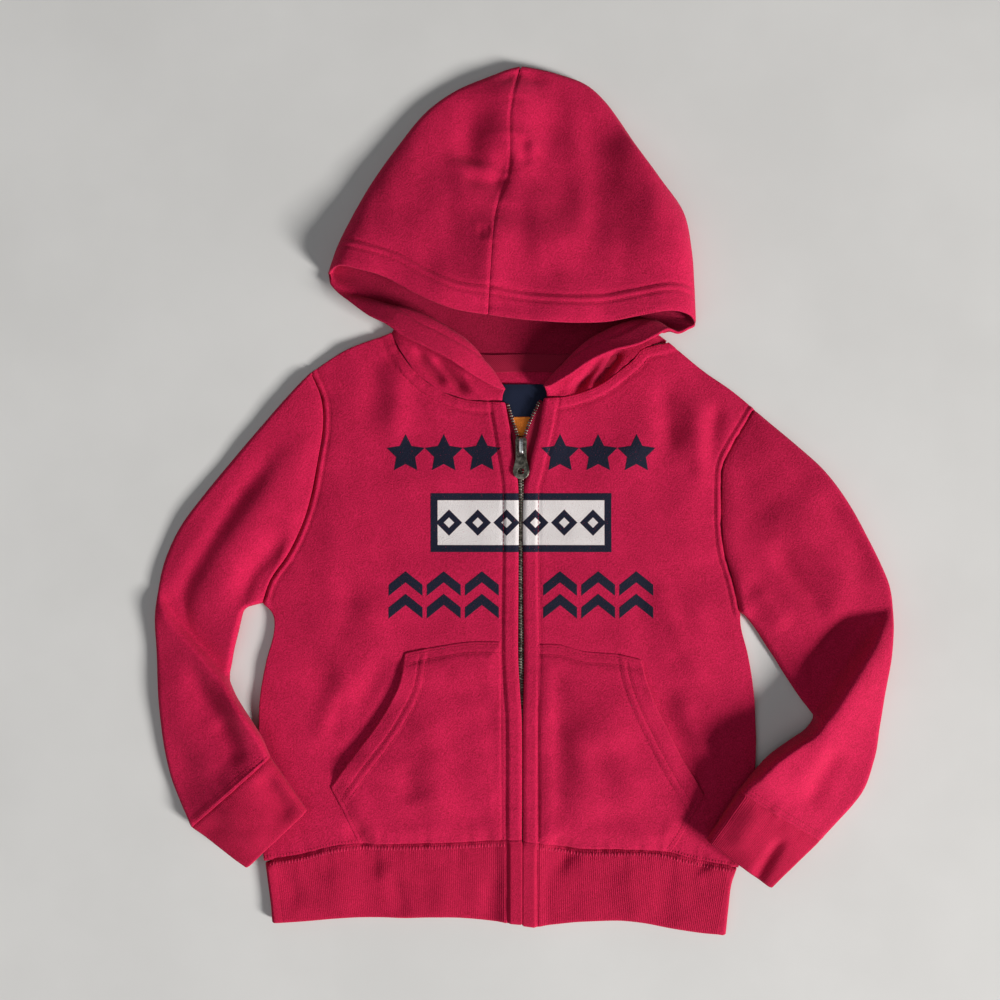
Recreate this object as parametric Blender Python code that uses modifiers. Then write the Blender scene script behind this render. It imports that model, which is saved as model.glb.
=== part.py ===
"""Child's zip-up hoodie in fleece, laid out flat on its back with the sleeves bent in beside the body.

The garment is made as a maker cuts it: one back, two fronts, two sleeves, two cuffs, one hem band that
goes round the back and both fronts, two pockets, two hood halves, a neck tape, two labels, and the zip. Every
cloth piece is a wall with its real thickness, and its neighbours lie a seam's gap away.

The wearer's right is at -X and the wearer's left at +X. +Y runs from the hem up to the hood, +Z up from the
surface that it lies on. The tables are in millimetres, and the objects are made in metres.
"""

import math
from collections import namedtuple

import bmesh
import bpy
import numpy as np

# ---- driving sizes, in millimetres ---------------------------------------------------------------------
FLEECE = 2.0  # wall of the fleece panels
RIB = 2.4  # wall of the rib cuffs and hem band
TAPE = 1.0  # wall of the zip tapes, the neck tape and the labels
SEAM = 0.25  # half of the gap between two pieces that a seam joins
REST = 0.4  # gap between a piece and the panel that it lies on

FRONT_LIES_AT = 2.3  # underside of a front panel where it meets the back at a side seam
FRONT_CROWN = 2.6  # how much higher it lies inside its edges
CROWN_RUN = 25.0  # over about this distance from an edge
PLACKET_RUN = 20.0  # width of the stretch beside the zip that lies on the zip tape
BAND_INSIDE = 1.8  # hollow between the two layers of the hem band

TAPE_LIES_AT = 2.8  # underside of the zip tape at the hem
SLIDER_LIFT = 2.0  # the zip lies this much higher from the slider up, over the slider's lower plate
SLIDER_LIFT_FROM = -20.0
SLIDER_LIFT_FULL = 28.0
ZIP_TAPE_WIDTH = 10.0
TEETH_WIDTH = 1.75
TEETH_THICK = 2.0
SLIDER_CENTRE = (-1.0, 38.5)
SLIDER_LENGTH = 15.0
SLIDER_WIDTH = 8.6
SLIDER_CORNER = 3.0
PLATE = 1.0  # thickness of the slider's two plates
PLATE_OVER_TEETH = 0.3
LOW_PLATE_INSET = 0.7  # how much shorter the lower plate is at each end
LOW_PLATE_WIDTH = 7.6
WEDGE_WIDTH = 1.1
WEDGE_LENGTH = 2.6
BRIDGE_WIDTH = 3.0
BRIDGE_SPAN = 12.4
BRIDGE_HEIGHT = 3.2
BRIDGE_THICK = 1.1
BRIDGE_LEG = 1.2
BRIDGE_INSET = 0.6  # from the slider's upper end to the bridge
SINK = 0.5  # how far a joined block reaches into its neighbour
PULL_LENGTH = 28.5
PULL_THICK = 1.2
PULL_OVER_PLATE = 0.4
PULL_CLEAR = 0.1  # how far its bar lies from the bridge's upper leg, past its own thickness
PULL_NECK = 8.0
PULL_HEAD = 12.0
PULL_NECK_FROM = 15.0  # from the pull's end to where its sides run parallel
PULL_CORNER = 1.2
PULL_HOLE = 4.6
PULL_SLOT = (4.4, 10.4)  # width, length
PULL_SLOT_CORNER = 1.0

HOOD_FOLD = 4.0  # half the height of the rounded fold along the hood's outline
HOOD_LOW = 10.0  # height of the hood's upper layer near its tip
HOOD_HIGH = 24.0  # and at its mouth
HOOD_RUN = 25.0  # how far in from the outline it reaches that height

LABEL = (36.0, 23.0, 0.5, 73.0)  # width, length, centre X, centre Y
SIZE_TAG = (13.0, 13.5, 0.0, 53.8)
NECK_TAPE_INSET = (1.5, 12.5)  # from the neck seam to the tape's two edges
NECK_TAPE_SPAN = (0.17, 0.81)  # the stretch of the back neck that shows, from the right shoulder

Fold = namedtuple("Fold", "x0 y0 x1 y1 height width")
Section = namedtuple("Section", "outer_x outer_y inner_x inner_y height bow")
HoodRow = namedtuple(
    "HoodRow", "seam_x seam_y seam_z belly_x belly_y belly_z crest_x crest_y crest_z edge_x edge_y edge_z"
)
Body = namedtuple("Body", "side armhole shoulder neck zip_edge hem band_side band_foot")

# ---- the body's outline, each line from the hem up or from the side in ---------------------------------
RIGHT = Body(
    side=[
        (-189, -264), (-192, -234), (-193, -190), (-192, -146),
        (-187, -117), (-182, -99), (-182, -84), (-190, -75),
    ],
    armhole=[
        (-190, -75), (-184, -58), (-171, -39), (-161, -18), (-155, 1),
        (-150, 27), (-146, 52), (-147, 73), (-155, 93),
    ],
    shoulder=[(-155, 93), (-128, 110), (-96, 122)],
    neck=[(-96, 122), (-90, 109), (-78, 93), (-61, 80), (-41, 73), (-13, 71)],
    zip_edge=[(-3.3, -248), (-3.3, -120), (-3.4, 7), (-5, 22), (-8.5, 44), (-13, 71)],
    hem=[(-189, -264), (-162, -260), (-133, -253), (-89, -252), (-50, -251), (-3.3, -248)],
    band_side=[(-188, -265), (-186, -281), (-184, -296), (-183, -308)],
    band_foot=[
        (-183, -308), (-162, -307), (-125, -304), (-88, -304), (-50, -304), (-13, -307), (-3.3, -308)
    ],
)
LEFT = Body(
    side=[
        (158, -269), (164, -248), (169, -212), (171, -175),
        (169, -139), (165, -113), (160, -94), (159, -82),
    ],
    armhole=[
        (159, -82), (154, -58), (148, -37), (146, -16), (146, 7),
        (147, 24), (153, 38), (162, 53), (170, 66),
    ],
    shoulder=[(170, 66), (153, 80), (133, 94), (107, 115)],
    neck=[(107, 115), (88, 110), (81, 102), (71, 94), (59, 85), (46, 79), (31, 75), (16, 74)],
    zip_edge=[(1.3, -249), (1.3, -120), (1.4, 7), (4, 18), (7.5, 33), (12, 51), (16, 74)],
    hem=[(158, -269), (128, -264), (99, -257), (42, -256), (17, -252), (1.3, -249)],
    band_side=[(157, -269), (153, -281), (151, -296), (149, -317)],
    band_foot=[(149, -317), (128, -315), (80, -307), (43, -307), (11, -310), (1.3, -309)],
)
BACK_NECK = [(-96, 122), (-67, 110), (-32, 104), (3, 104), (39, 104), (72, 109), (107, 115)]

# Soft ridges (height above 0) and troughs (below 0) of the fronts, each along a line.
FRONT_FOLDS = [
    Fold(-160, -70, -120, -150, 1.4, 15),
    Fold(-150, 20, -110, -60, 0.9, 16),
    Fold(-70, -130, -60, -235, 0.9, 18),
    Fold(-172, -150, -150, -215, 1.2, 13),
    Fold(60, -125, 70, -235, 1.0, 18),
    Fold(135, -60, 120, -150, 1.3, 15),
    Fold(118, 60, 122, -20, 1.0, 16),
    Fold(100, 60, 60, 20, 0.8, 14),
]

# ---- the pockets, each line from the zip outwards or from the top down ---------------------------------
POCKET_TOP = {
    "right": [(-14, -104), (-39, -104), (-65, -108), (-85, -112)],
    "left": [(9, -106), (26, -106), (45, -111), (69, -113), (86, -117)],
}
POCKET_OPENING = {
    "right": [(-85, -112), (-88, -132), (-96, -149), (-108, -168), (-125, -190), (-139, -210)],
    "left": [(86, -117), (89, -130), (96, -149), (106, -170), (117, -191), (132, -215)],
}
POCKET_FOOT = {
    "right": [(-13, -247), (-50, -249.5), (-89, -250.5), (-119, -251.5)],
    "left": [(10, -249), (30, -253), (70, -254.5), (108, -257)],
}
POCKET_LOW_SIDE = {
    "right": [(-139, -210), (-130, -227), (-123, -243), (-119, -251.5)],
    "left": [(132, -215), (122, -233), (115, -246), (108, -257)],
}

# ---- the sleeves, a row for each section from the armhole down to the cuff -----------------------------
SLEEVE_SECTIONS = {
    "right": [
        Section(-155.5, 93.5, -190.5, -75.2, 5.2, 1.00),
        Section(-169, 79.6, -193, -76, 7.2, 0.85),
        Section(-190, 56, -197, -77, 8.4, 0.60),
        Section(-213, 29, -201, -78.5, 8.8, 0.35),
        Section(-235, 2, -204, -82, 8.8, 0.15),
        Section(-251, -20, -205.5, -88, 8.8, 0.00),
        Section(-262, -44, -207.5, -97, 8.8, 0.00),
        Section(-267, -66, -210, -107, 8.8, 0.00),
        Section(-268.6, -88, -212.5, -119, 9.0, 0.00),
        Section(-268, -110, -214, -129, 9.6, 0.00),
        Section(-267, -138, -209, -140, 9.6, 0.00),
        Section(-265, -162, -202, -150, 9.0, 0.00),
        Section(-262, -184, -195, -160, 8.8, 0.00),
        Section(-255.5, -209.5, -187.6, -171.5, 8.8, 0.00),
        Section(-241.6, -238.7, -181.8, -185.4, 8.8, 0.00),
    ],
    "left": [
        Section(170.6, 66.2, 159.6, -82.2, 5.2, 1.00),
        Section(182.5, 55.5, 162, -83.5, 7.2, 0.85),
        Section(201.5, 38.7, 164.5, -86, 8.4, 0.60),
        Section(219, 21.9, 167, -89, 8.8, 0.35),
        Section(235.8, -0.7, 170, -93, 8.8, 0.15),
        Section(249.7, -25.6, 174, -99, 8.8, 0.00),
        Section(260.6, -47.5, 179, -107, 8.8, 0.00),
        Section(266.5, -62.8, 185, -116, 8.8, 0.00),
        Section(268.6, -80, 192.7, -128.5, 9.0, 0.00),
        Section(266.5, -104, 203, -144, 9.6, 0.00),
        Section(263.5, -132, 212, -157.5, 9.6, 0.00),
        Section(260.6, -162, 206, -167, 9.0, 0.00),
        Section(257, -187.6, 192.7, -174.5, 8.8, 0.00),
        Section(246.5, -216, 175.2, -186.2, 8.8, 0.00),
        Section(216.8, -247.5, 155.5, -208.1, 8.8, 0.00),
    ],
}
SLEEVE_FOLDS = {
    "right": [
        Fold(-172, 62, -240, -40, 3.2, 13),
        Fold(-196, -60, -240, -50, 2.2, 12),
        Fold(-258, -84, -222, -128, 3.4, 10),
        Fold(-238, -140, -228, -215, 2.6, 14),
    ],
    "left": [
        Fold(176, 30, 236, -40, 3.2, 13),
        Fold(166, -70, 215, -60, 2.4, 12),
        Fold(258, -92, 222, -146, 3.6, 10),
        Fold(238, -150, 214, -218, 2.6, 14),
    ],
}
SLEEVE_RINGS = 22
CUFF_RINGS = 5
# The opening edge of each cuff, and how high cuff and forearm lie where they cross the body's side.
CUFF_OPENING = {
    "right": Section(-200, -265, -156.2, -223.4, 8.4, 0.0),
    "left": Section(180.3, -278.9, 132.9, -243.8, 8.4, 0.0),
}
CUFF_RIDES_AT = {"right": 9.2, "left": 11.0}
CUFF_RAMP_FROM = {"right": -218.0, "left": 200.0}
CUFF_RAMP_FULL = {"right": -196.0, "left": 174.0}

# ---- the hood ------------------------------------------------------------------------------------------
HOOD_TIP = (-1, 317)
HOOD_OUTLINE = {
    "right": [
        HOOD_TIP, (-10, 314.8), (-23, 310), (-49, 299), (-71, 283),
        (-93, 256), (-110, 232), (-124, 208), (-135, 186), (-142, 166),
    ],
    "left": [
        HOOD_TIP, (9, 315.5), (24, 312), (46, 304), (60, 292), (72, 276),
        (85, 256), (101, 234), (118, 210), (124, 182), (126, 155), (127, 131),
    ],
}
HOOD_TURN = (7.0, 3.6, 1.5, 0.5, 0.0)  # where a row's last points lie, in from the outline
HOOD_ROW_AT = (0.0, 0.03, 0.07, 0.12, 0.19, 0.27, 0.36, 0.46, 0.56, 0.67, 0.78, 0.89, 1.0)
HOOD_CROWN_SEAM = [
    HOOD_TIP, (-6, 297), (-9, 277), (-9, 256), (-10, 237), (-16, 220), (-20, 203), (-23, 164), (-25, 133)
]
HOOD_BACK_SEAM = [HOOD_TIP, (2, 250), (5, 150)]
HOOD_MOUTH = {
    "right": [(-25, 133), (-53, 138), (-78, 149), (-98, 160), (-115, 165), (-133, 169), (-142, 166)],
    "left": [(-25, 133), (4, 129), (34, 127), (59, 128), (82, 132), (106, 136), (120, 134), (127, 131)],
}
HOOD_FOLDS = [
    Fold(-9, 262, -22, 205, -2.2, 9),
    Fold(-9, 240, 14, 262, 1.6, 8),
    Fold(-16, 215, -52, 268, -1.4, 10),
    Fold(30, 230, 70, 175, 1.8, 18),
    Fold(-60, 230, -95, 180, 1.6, 18),
]
# Below the mouth each row runs from the neck seam, up to the crest where the edge turns out, and down to the
# free edge. The first rows start on the hood's back seam, the last one at the top of the zip.
HOOD_ROWS = {
    "right": [
        HoodRow(4.7, 128, 0, -48, 140, 0, -100, 149, 1.5, -140, 158, 5.5),
        HoodRow(4, 105.1, 0, -45, 122, 0, -95, 139, 4, -133, 150, 8),
        HoodRow(-40, 106.1, 0, -70, 124, 2, -101, 139, 11, -122, 141, 12),
        HoodRow(-72, 113.1, 0.4, -84, 126, 6.2, -96, 138, 18.5, -110, 132, 16),
        HoodRow(-95.2, 123.6, 3, -92, 129, 12, -84, 137, 26, -97, 125, 20),
        HoodRow(-88.8, 110.8, 6.2, -82, 120, 15.5, -69, 131, 30, -86, 117, 22),
        HoodRow(-77.4, 93.6, 6.2, -70, 105, 15, -55, 123, 32, -70, 109, 24),
        HoodRow(-60.6, 80.8, 6.8, -53, 93, 14, -38, 111, 30, -51, 99, 23),
        HoodRow(-39.8, 74.2, 7.4, -35, 82, 12, -25, 95, 24, -35, 89, 19),
        HoodRow(-15, 72.2, 8.4, -15, 75, 10.5, -14.5, 79, 13, -17, 79.5, 15.5),
    ],
    "left": [
        HoodRow(4.7, 128, 0, 60, 131, 0, 100, 131, 1.5, 125.5, 127, 5.5),
        HoodRow(4, 105.1, 0, 45, 113, 0, 90, 121, 3.5, 121, 124, 8),
        HoodRow(38, 105.3, 0, 68, 115, 2, 96, 124, 9.5, 112, 119.5, 12),
        HoodRow(72, 110.3, 0.4, 84, 119.5, 5.8, 92, 129, 16.5, 103, 121, 14.5),
        HoodRow(107, 117, 2.5, 97, 122, 11, 80, 128, 25.5, 94, 116, 20.5),
        HoodRow(90.5, 112.4, 6.7, 80, 115.5, 15, 63, 122, 30, 81, 109.5, 23),
        HoodRow(74, 98.4, 6.2, 66, 105, 14, 47, 113, 31, 64, 105, 24),
        HoodRow(57, 84.6, 6.8, 51, 93, 13.5, 34, 101, 28, 48, 98, 23),
        HoodRow(36.6, 77, 7.4, 34, 83, 12, 24, 90, 23, 34, 89, 22.5),
        HoodRow(18.2, 75.2, 8.4, 18, 78, 10.5, 17, 81.5, 13, 20, 81.5, 15.5),
    ],
}

# ---- the zip's two sides, each line from the hem up ----------------------------------------------------
TEETH_LINE = {
    "right": [(-2.05, -304), (-2.05, -100), (-2.05, 33), (-2.5, 39), (-4.3, 48), (-7.5, 58), (-11, 70)],
    "left": [(0.05, -304), (0.05, -100), (0.05, 33), (0.5, 39), (2.4, 48), (7, 60), (13, 72.5)],
}

COLOURS = {
    "fleece": (0.46, 0.012, 0.05),
    "rib": (0.40, 0.010, 0.042),
    "zip_tape": (0.34, 0.010, 0.035),
    "zip_metal": (0.16, 0.14, 0.12),
    "label": (0.008, 0.012, 0.03),
    "size_tag": (0.72, 0.16, 0.02),
}


# ---- lines and surfaces --------------------------------------------------------------------------------
def lengths(line):
    """How far along it each point of a line is."""
    return np.concatenate([[0.0], np.cumsum(np.linalg.norm(np.diff(line, axis=0), axis=1))])


def curved(rows, at, where):
    """Rows that stand at the places at, read at other places along a curve through all of them."""
    slope = np.empty_like(rows)
    slope[1:-1] = (rows[2:] - rows[:-2]) / (at[2:] - at[:-2])[:, None]
    slope[0] = (rows[1] - rows[0]) / (at[1] - at[0])
    slope[-1] = (rows[-1] - rows[-2]) / (at[-1] - at[-2])
    i = np.clip(np.searchsorted(at, where, side="right") - 1, 0, len(at) - 2)
    span = (at[i + 1] - at[i])[:, None]
    k = (where - at[i])[:, None] / span
    return (
        (2 * k**3 - 3 * k**2 + 1) * rows[i]
        + (k**3 - 2 * k**2 + k) * span * slope[i]
        + (3 * k**2 - 2 * k**3) * rows[i + 1]
        + (k**3 - k**2) * span * slope[i + 1]
    )


def smooth(points, per_span=10):
    """A curve through the points, as a dense line, with each tangent set by the points on either side."""
    points = np.array(points, float)
    if len(points) < 3:
        return points
    at = lengths(points)
    where = [a + (b - a) * np.arange(per_span) / per_span for a, b in zip(at[:-1], at[1:])]
    return curved(points, at, np.concatenate([*where, at[-1:]]))


def join(*lines):
    """Lines laid end to end, with a sharp turn where two of them meet."""
    return np.concatenate([lines[0]] + [line[1:] for line in lines[1:]])


def shares(line):
    """How far along its length each point of a line is, from 0 to 1."""
    at = lengths(line)
    return at / at[-1]


def along(line, where):
    """Points of a line at the given shares of its length."""
    at = shares(line)
    return np.stack([np.interp(where, at, line[:, i]) for i in range(line.shape[1])], axis=-1)


def steps(count, *stops):
    """About count even steps from 0 to 1 that also stop at each of the given shares."""
    ends = [0.0, *sorted(stops), 1.0]
    pieces = [
        np.linspace(a, b, max(2, round(count * (b - a)) + 1))[:-1] for a, b in zip(ends[:-1], ends[1:])
    ]
    return np.concatenate([*pieces, [1.0]])


def coons(low, high, first, last, across, up):
    """The flat patch between four lines: low and high run across, first and last run up."""
    a, b = along(low, across), along(high, across)
    c, d = along(first, up), along(last, up)
    s, t = across[None, :, None], up[:, None, None]
    ruled = (1 - t) * a[None] + t * b[None] + (1 - s) * c[:, None] + s * d[:, None]
    corners = (
        (1 - s) * (1 - t) * low[0] + s * (1 - t) * low[-1] + (1 - s) * t * high[0] + s * t * high[-1]
    )
    return ruled - corners


def away_from(xy, line):
    """The distance of each point of xy from a line."""
    start, run = line[:-1, :2], np.diff(line[:, :2], axis=0)
    offset = xy[..., None, :] - start
    k = np.clip((offset * run).sum(-1) / np.maximum((run**2).sum(-1), 1e-9), 0, 1)
    return np.linalg.norm(offset - k[..., None] * run, axis=-1).min(axis=-1)


def ease(value, start, end):
    """0 at start, 1 at end, and smooth between them."""
    k = np.clip((value - start) / (end - start), 0, 1)
    return k * k * (3 - 2 * k)


def folds_at(xy, folds):
    """The height that a list of soft ridges and troughs adds at each point."""
    height = np.zeros(xy.shape[:-1])
    for fold in folds:
        line = np.array([(fold.x0, fold.y0), (fold.x1, fold.y1)], float)
        height += fold.height * np.exp(-((away_from(xy, line) / fold.width) ** 2))
    return height


# ---- objects -------------------------------------------------------------------------------------------
def clear_scene():
    """Remove what a new file starts with."""
    for obj in list(bpy.data.objects):
        bpy.data.objects.remove(obj, do_unlink=True)


def material(slot):
    """One material for each kind of cloth or metal, made the first time that it is asked for."""
    found = bpy.data.materials.get(slot)
    if found:
        return found
    made = bpy.data.materials.new(slot)
    made.use_nodes = True
    shader = made.node_tree.nodes["Principled BSDF"]
    metal = slot == "zip_metal"
    shader.inputs["Base Color"].default_value = (*COLOURS[slot], 1.0)
    shader.inputs["Roughness"].default_value = 0.4 if metal else 0.95
    shader.inputs["Metallic"].default_value = 1.0 if metal else 0.0
    made.diffuse_color = (*COLOURS[slot], 1.0)
    return made


def add_object(name, mesh, slot, parent=None):
    """An object of the garment, with its material, smooth but for its sharp edges."""
    mesh.materials.append(material(slot))
    obj = bpy.data.objects.new(name, mesh)
    bpy.data.collections["hoodie"].objects.link(obj)
    obj.parent = parent
    mesh.shade_smooth()
    mesh.set_sharp_from_angle(angle=math.radians(50))
    return obj


def grid_mesh(name, *grids, ring=False):
    """One mesh of all the grids, whose shared edges are welded. A ring's last column meets its first."""
    shape = bmesh.new()
    for grid in grids:
        points = [[shape.verts.new(p / 1000) for p in row] for row in grid]
        last = len(points[0]) if ring else len(points[0]) - 1
        for near, far in zip(points[:-1], points[1:]):
            for i in range(last):
                j = (i + 1) % len(near)
                shape.faces.new((near[i], near[j], far[j], far[i]))
    bmesh.ops.remove_doubles(shape, verts=shape.verts, dist=2e-5)
    mesh = bpy.data.meshes.new(name)
    shape.to_mesh(mesh)
    shape.free()
    return mesh


def cloth(name, *grids, wall=FLEECE, slot="fleece", ring=False):
    """A cloth piece: its outer face as one or more grids, made solid by the wall inside it."""
    obj = add_object(name, grid_mesh(name, *grids, ring=ring), slot)
    solid = obj.modifiers.new("wall", "SOLIDIFY")
    solid.thickness = wall / 1000
    solid.offset = -1
    solid.use_even_offset = False
    return obj


def plate(name, outline, thick, low, slot, parent=None, hole=None):
    """A flat outline, with an optional hole in it, as a solid plate from height low up."""
    curve = bpy.data.curves.new(name, "CURVE")
    curve.dimensions = "2D"
    curve.fill_mode = "BOTH"
    curve.extrude = thick / 2000
    for line in [outline] if hole is None else [outline, *hole]:
        spline = curve.splines.new("POLY")
        spline.points.add(len(line) - 1)
        for point, (x, y) in zip(spline.points, line):
            point.co = (x / 1000, y / 1000, 0, 1)
        spline.use_cyclic_u = True
    drawn = bpy.data.objects.new(name + "_outline", curve)
    drawn.location.z = (low + thick / 2) / 1000
    bpy.data.collections["hoodie"].objects.link(drawn)
    bpy.context.view_layer.update()
    graph = bpy.context.evaluated_depsgraph_get()
    mesh = bpy.data.meshes.new_from_object(drawn.evaluated_get(graph))
    mesh.transform(drawn.matrix_world)
    bpy.data.objects.remove(drawn, do_unlink=True)
    shape = bmesh.new()
    shape.from_mesh(mesh)
    bmesh.ops.remove_doubles(shape, verts=shape.verts, dist=1e-6)
    bmesh.ops.recalc_face_normals(shape, faces=shape.faces)
    shape.to_mesh(mesh)
    shape.free()
    mesh.materials.clear()
    return add_object(name, mesh, slot, parent)


# ---- how the body lies ---------------------------------------------------------------------------------
def body_of(hand):
    """The outline of one side of the body."""
    return RIGHT if hand == "right" else LEFT


def zip_lift(y):
    """How much the zip is raised along its length: the slider's lower plate lies under its upper part."""
    return SLIDER_LIFT * ease(y, SLIDER_LIFT_FROM, SLIDER_LIFT_FULL)


def front_top(xy, hand):
    """How high a front's outer face lies: low at the side, raised inside, and laid over the zip tape."""
    body = body_of(hand)
    rim = join(smooth(body.side), smooth(body.armhole), smooth(body.shoulder))
    to_rim = away_from(xy, rim)
    to_zip = away_from(xy, smooth(body.zip_edge))
    rise = FRONT_CROWN * (0.45 + 0.55 * ease(xy[..., 1], -265, -205)) + folds_at(xy, FRONT_FOLDS)
    lies = FRONT_LIES_AT + rise * (1 - np.exp(-to_rim / CROWN_RUN))
    placket = TAPE_LIES_AT + TAPE + REST + zip_lift(xy[..., 1])
    share = np.exp(-((to_zip / PLACKET_RUN) ** 4))
    return np.maximum(lies, lies + (placket - lies) * share) + FLEECE


def with_height(xy, height):
    """Flat points with their heights added."""
    return np.concatenate([xy, height[..., None]], axis=-1)


def drawn_in(xy, distance, hand):
    """The patch with its outer line drawn in by a small distance, so that seams keep their gap."""
    moved = xy.copy()
    inward = 1 if hand == "right" else -1
    moved[:, 0, 0] += inward * distance
    moved[0, :, 1] += distance
    moved[-1, :, 1] -= distance
    return moved


def facing_up(grid):
    """The grid with its columns in the order that makes its faces look up."""
    a, b, c = grid[0, 0], grid[0, 1], grid[1, 0]
    return grid if np.cross(b - a, c - a)[2] > 0 else grid[:, ::-1]


def front(hand):
    """One front, from the side seam and the armhole to the zip, and from the hem to the shoulder and neck."""
    body = body_of(hand)
    first = join(smooth(body.side), smooth(body.armhole))
    high = join(smooth(body.shoulder), smooth(body.neck))
    turn = shares(first)[len(smooth(body.side)) - 1]
    corner = shares(high)[len(smooth(body.shoulder)) - 1]
    across, up = steps(13, corner), steps(20, turn)
    xy = drawn_in(coons(smooth(body.hem), high, first, smooth(body.zip_edge), across, up), SEAM, hand)
    return cloth("front_" + hand, facing_up(with_height(xy, front_top(xy, hand))))


def pocket(hand):
    """A patch over the lower front, made of the front's own points moved out by its wall."""
    top, foot = smooth(POCKET_TOP[hand]), smooth(POCKET_FOOT[hand])
    outer = join(smooth(POCKET_LOW_SIDE[hand])[::-1], smooth(POCKET_OPENING[hand])[::-1])
    inner = np.array([foot[0], top[0]])
    turn = shares(outer)[len(smooth(POCKET_LOW_SIDE[hand])) - 1]
    xy = coons(foot[::-1], top[::-1], outer, inner, steps(7), steps(12, turn))
    return cloth("pocket_" + hand, facing_up(with_height(xy, front_top(xy, hand) + REST + FLEECE)))


def back():
    """The back lies flat under everything: its outline is that of the two fronts, closed by the back neck."""
    lines = [RIGHT.hem[::-1], RIGHT.side, RIGHT.armhole, RIGHT.shoulder, BACK_NECK]
    lines += [line[::-1] for line in (LEFT.shoulder, LEFT.armhole, LEFT.side)] + [LEFT.hem]
    outline = np.concatenate([along(smooth(line), np.linspace(0, 1, 13)[:-1]) for line in lines])
    from_centre = outline - outline.mean(axis=0)
    outline -= from_centre / np.linalg.norm(from_centre, axis=1, keepdims=True) * SEAM
    return plate("back_panel", outline, FLEECE, 0.0, "fleece")


# ---- hem band ------------------------------------------------------------------------------------------
def hem_band():
    """One strip of rib that goes from the zip round the right side, the back and the left side to the zip."""
    fold = RIB + BAND_INSIDE / 2
    turn = np.linspace(math.pi / 2, -math.pi / 2, 9)
    share = np.linspace(0, 1, 11)[1:]
    rows = []
    for t in np.linspace(0, 1, 6):
        row = []
        for body, outward in ((RIGHT, -1), (LEFT, 1)):
            top, foot = along(smooth(body.hem), share[::-1]), along(smooth(body.band_foot), share[::-1])
            side = along(smooth(body.band_side), np.array([t]))[0]
            top[:, 1] -= 2 * SEAM
            inner = top + (foot - top) * t
            wave = 0.5 * np.sin(inner[:, 0] / 21.0) * t
            front_part = [(x, y, 2 * fold + w) for (x, y), w in zip(inner, wave)]
            side_part = []
            for a in turn:
                inward = outward * fold * (1 - math.cos(a))
                side_part.append((side[0] - inward, side[1] - 2 * SEAM * (1 - t), fold + fold * math.sin(a)))
            back_part = [(x, y, 0.0) for x, y in inner[::-1]]
            part = front_part + side_part + back_part
            row.append(part if body is RIGHT else part[::-1])
        rows.append(row[0] + row[1])
    return cloth("hem_band", np.array(rows), wall=RIB, slot="rib")


# ---- sleeves and cuffs ---------------------------------------------------------------------------------
def ring_shape(width, height, flats=9, ends=4):
    """A flattened ring: for each point its place across, from 0 to 1, and its share of the height."""
    end = min(0.9 * height, 0.3 * width) / width
    turn = np.linspace(-math.pi / 2, math.pi / 2, ends + 1)
    flat = np.linspace(end, 1 - end, flats + 1)
    around = [(k, 0.0) for k in flat[:-1]]
    around += [(1 - end + end * math.cos(a), 0.5 + 0.5 * math.sin(a)) for a in turn]
    around += [(k, 1.0) for k in flat[::-1][1:-1]]
    around += [(end - end * math.cos(a), 0.5 + 0.5 * math.sin(a)) for a in turn[::-1]]
    return np.array(around[:-1])


def smooth_sections(sections, count):
    """The table of sections, read as smooth columns at evenly spaced places down the sleeve."""
    table = np.array(sections, float)
    at = shares((table[:, 0:2] + table[:, 2:4]) / 2)
    return [Section(*row) for row in curved(table, at, np.linspace(0, 1, count))]


def carried_at(xy, hand, share):
    """How high the underside lies: on the surface, and on the body where the forearm crosses its side."""
    over = ease(xy[..., 0], CUFF_RAMP_FROM[hand], CUFF_RAMP_FULL[hand])
    return CUFF_RIDES_AT[hand] * over * ease(share, 0.55, 0.78)


def armhole_bow(hand, where):
    """How far the armhole line bows from the straight line between its ends."""
    line = smooth(body_of(hand).armhole)[::-1]
    chord = line[0] + (line[-1] - line[0]) * where[:, None]
    return along(line, where) - chord


def tube(sections, hand, shares_down, folds):
    """The flattened rings of a sleeve or cuff, one row of points for each section."""
    outward = np.array([-3 * SEAM if hand == "right" else 3 * SEAM, 0.0])
    rows = []
    for section, share in zip(sections, shares_down):
        outer = np.array([section.outer_x, section.outer_y])
        inner = np.array([section.inner_x, section.inner_y])
        around = ring_shape(np.linalg.norm(outer - inner), section.height)
        xy = outer + (inner - outer) * around[:, :1]
        xy = xy + section.bow * (armhole_bow(hand, around[:, 0]) + outward)
        z = carried_at(xy, hand, share) + section.height * around[:, 1]
        z += folds_at(xy, folds) * ease(around[:, 1], 0.7, 1.0) * ease(share, 0.0, 0.12)
        rows.append(with_height(xy, z))
    grid = np.array(rows)
    return grid if hand == "right" else grid[:, ::-1]


def sleeve(hand):
    """A tube from the armhole to the cuff, bent at the elbow, with its largest folds."""
    sections = smooth_sections(SLEEVE_SECTIONS[hand], SLEEVE_RINGS)
    grid = tube(sections, hand, np.linspace(0, 1, SLEEVE_RINGS), SLEEVE_FOLDS[hand])
    return cloth("sleeve_" + hand, grid, ring=True)


def cuff(hand):
    """A short rib tube from the end of the sleeve to the cuff's opening."""
    top, foot = SLEEVE_SECTIONS[hand][-1], CUFF_OPENING[hand]
    start, end = np.array(top), np.array(foot)
    down = (end - start)[:4].reshape(2, 2).mean(axis=0)
    start[:4] += np.tile(down / np.linalg.norm(down) * 5 * SEAM, 2)
    sections = [Section(*(start + (end - start) * k)) for k in np.linspace(0, 1, CUFF_RINGS)]
    grid = tube(sections, hand, np.ones(CUFF_RINGS), [])
    return cloth("cuff_" + hand, grid, wall=RIB, slot="rib", ring=True)


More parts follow.
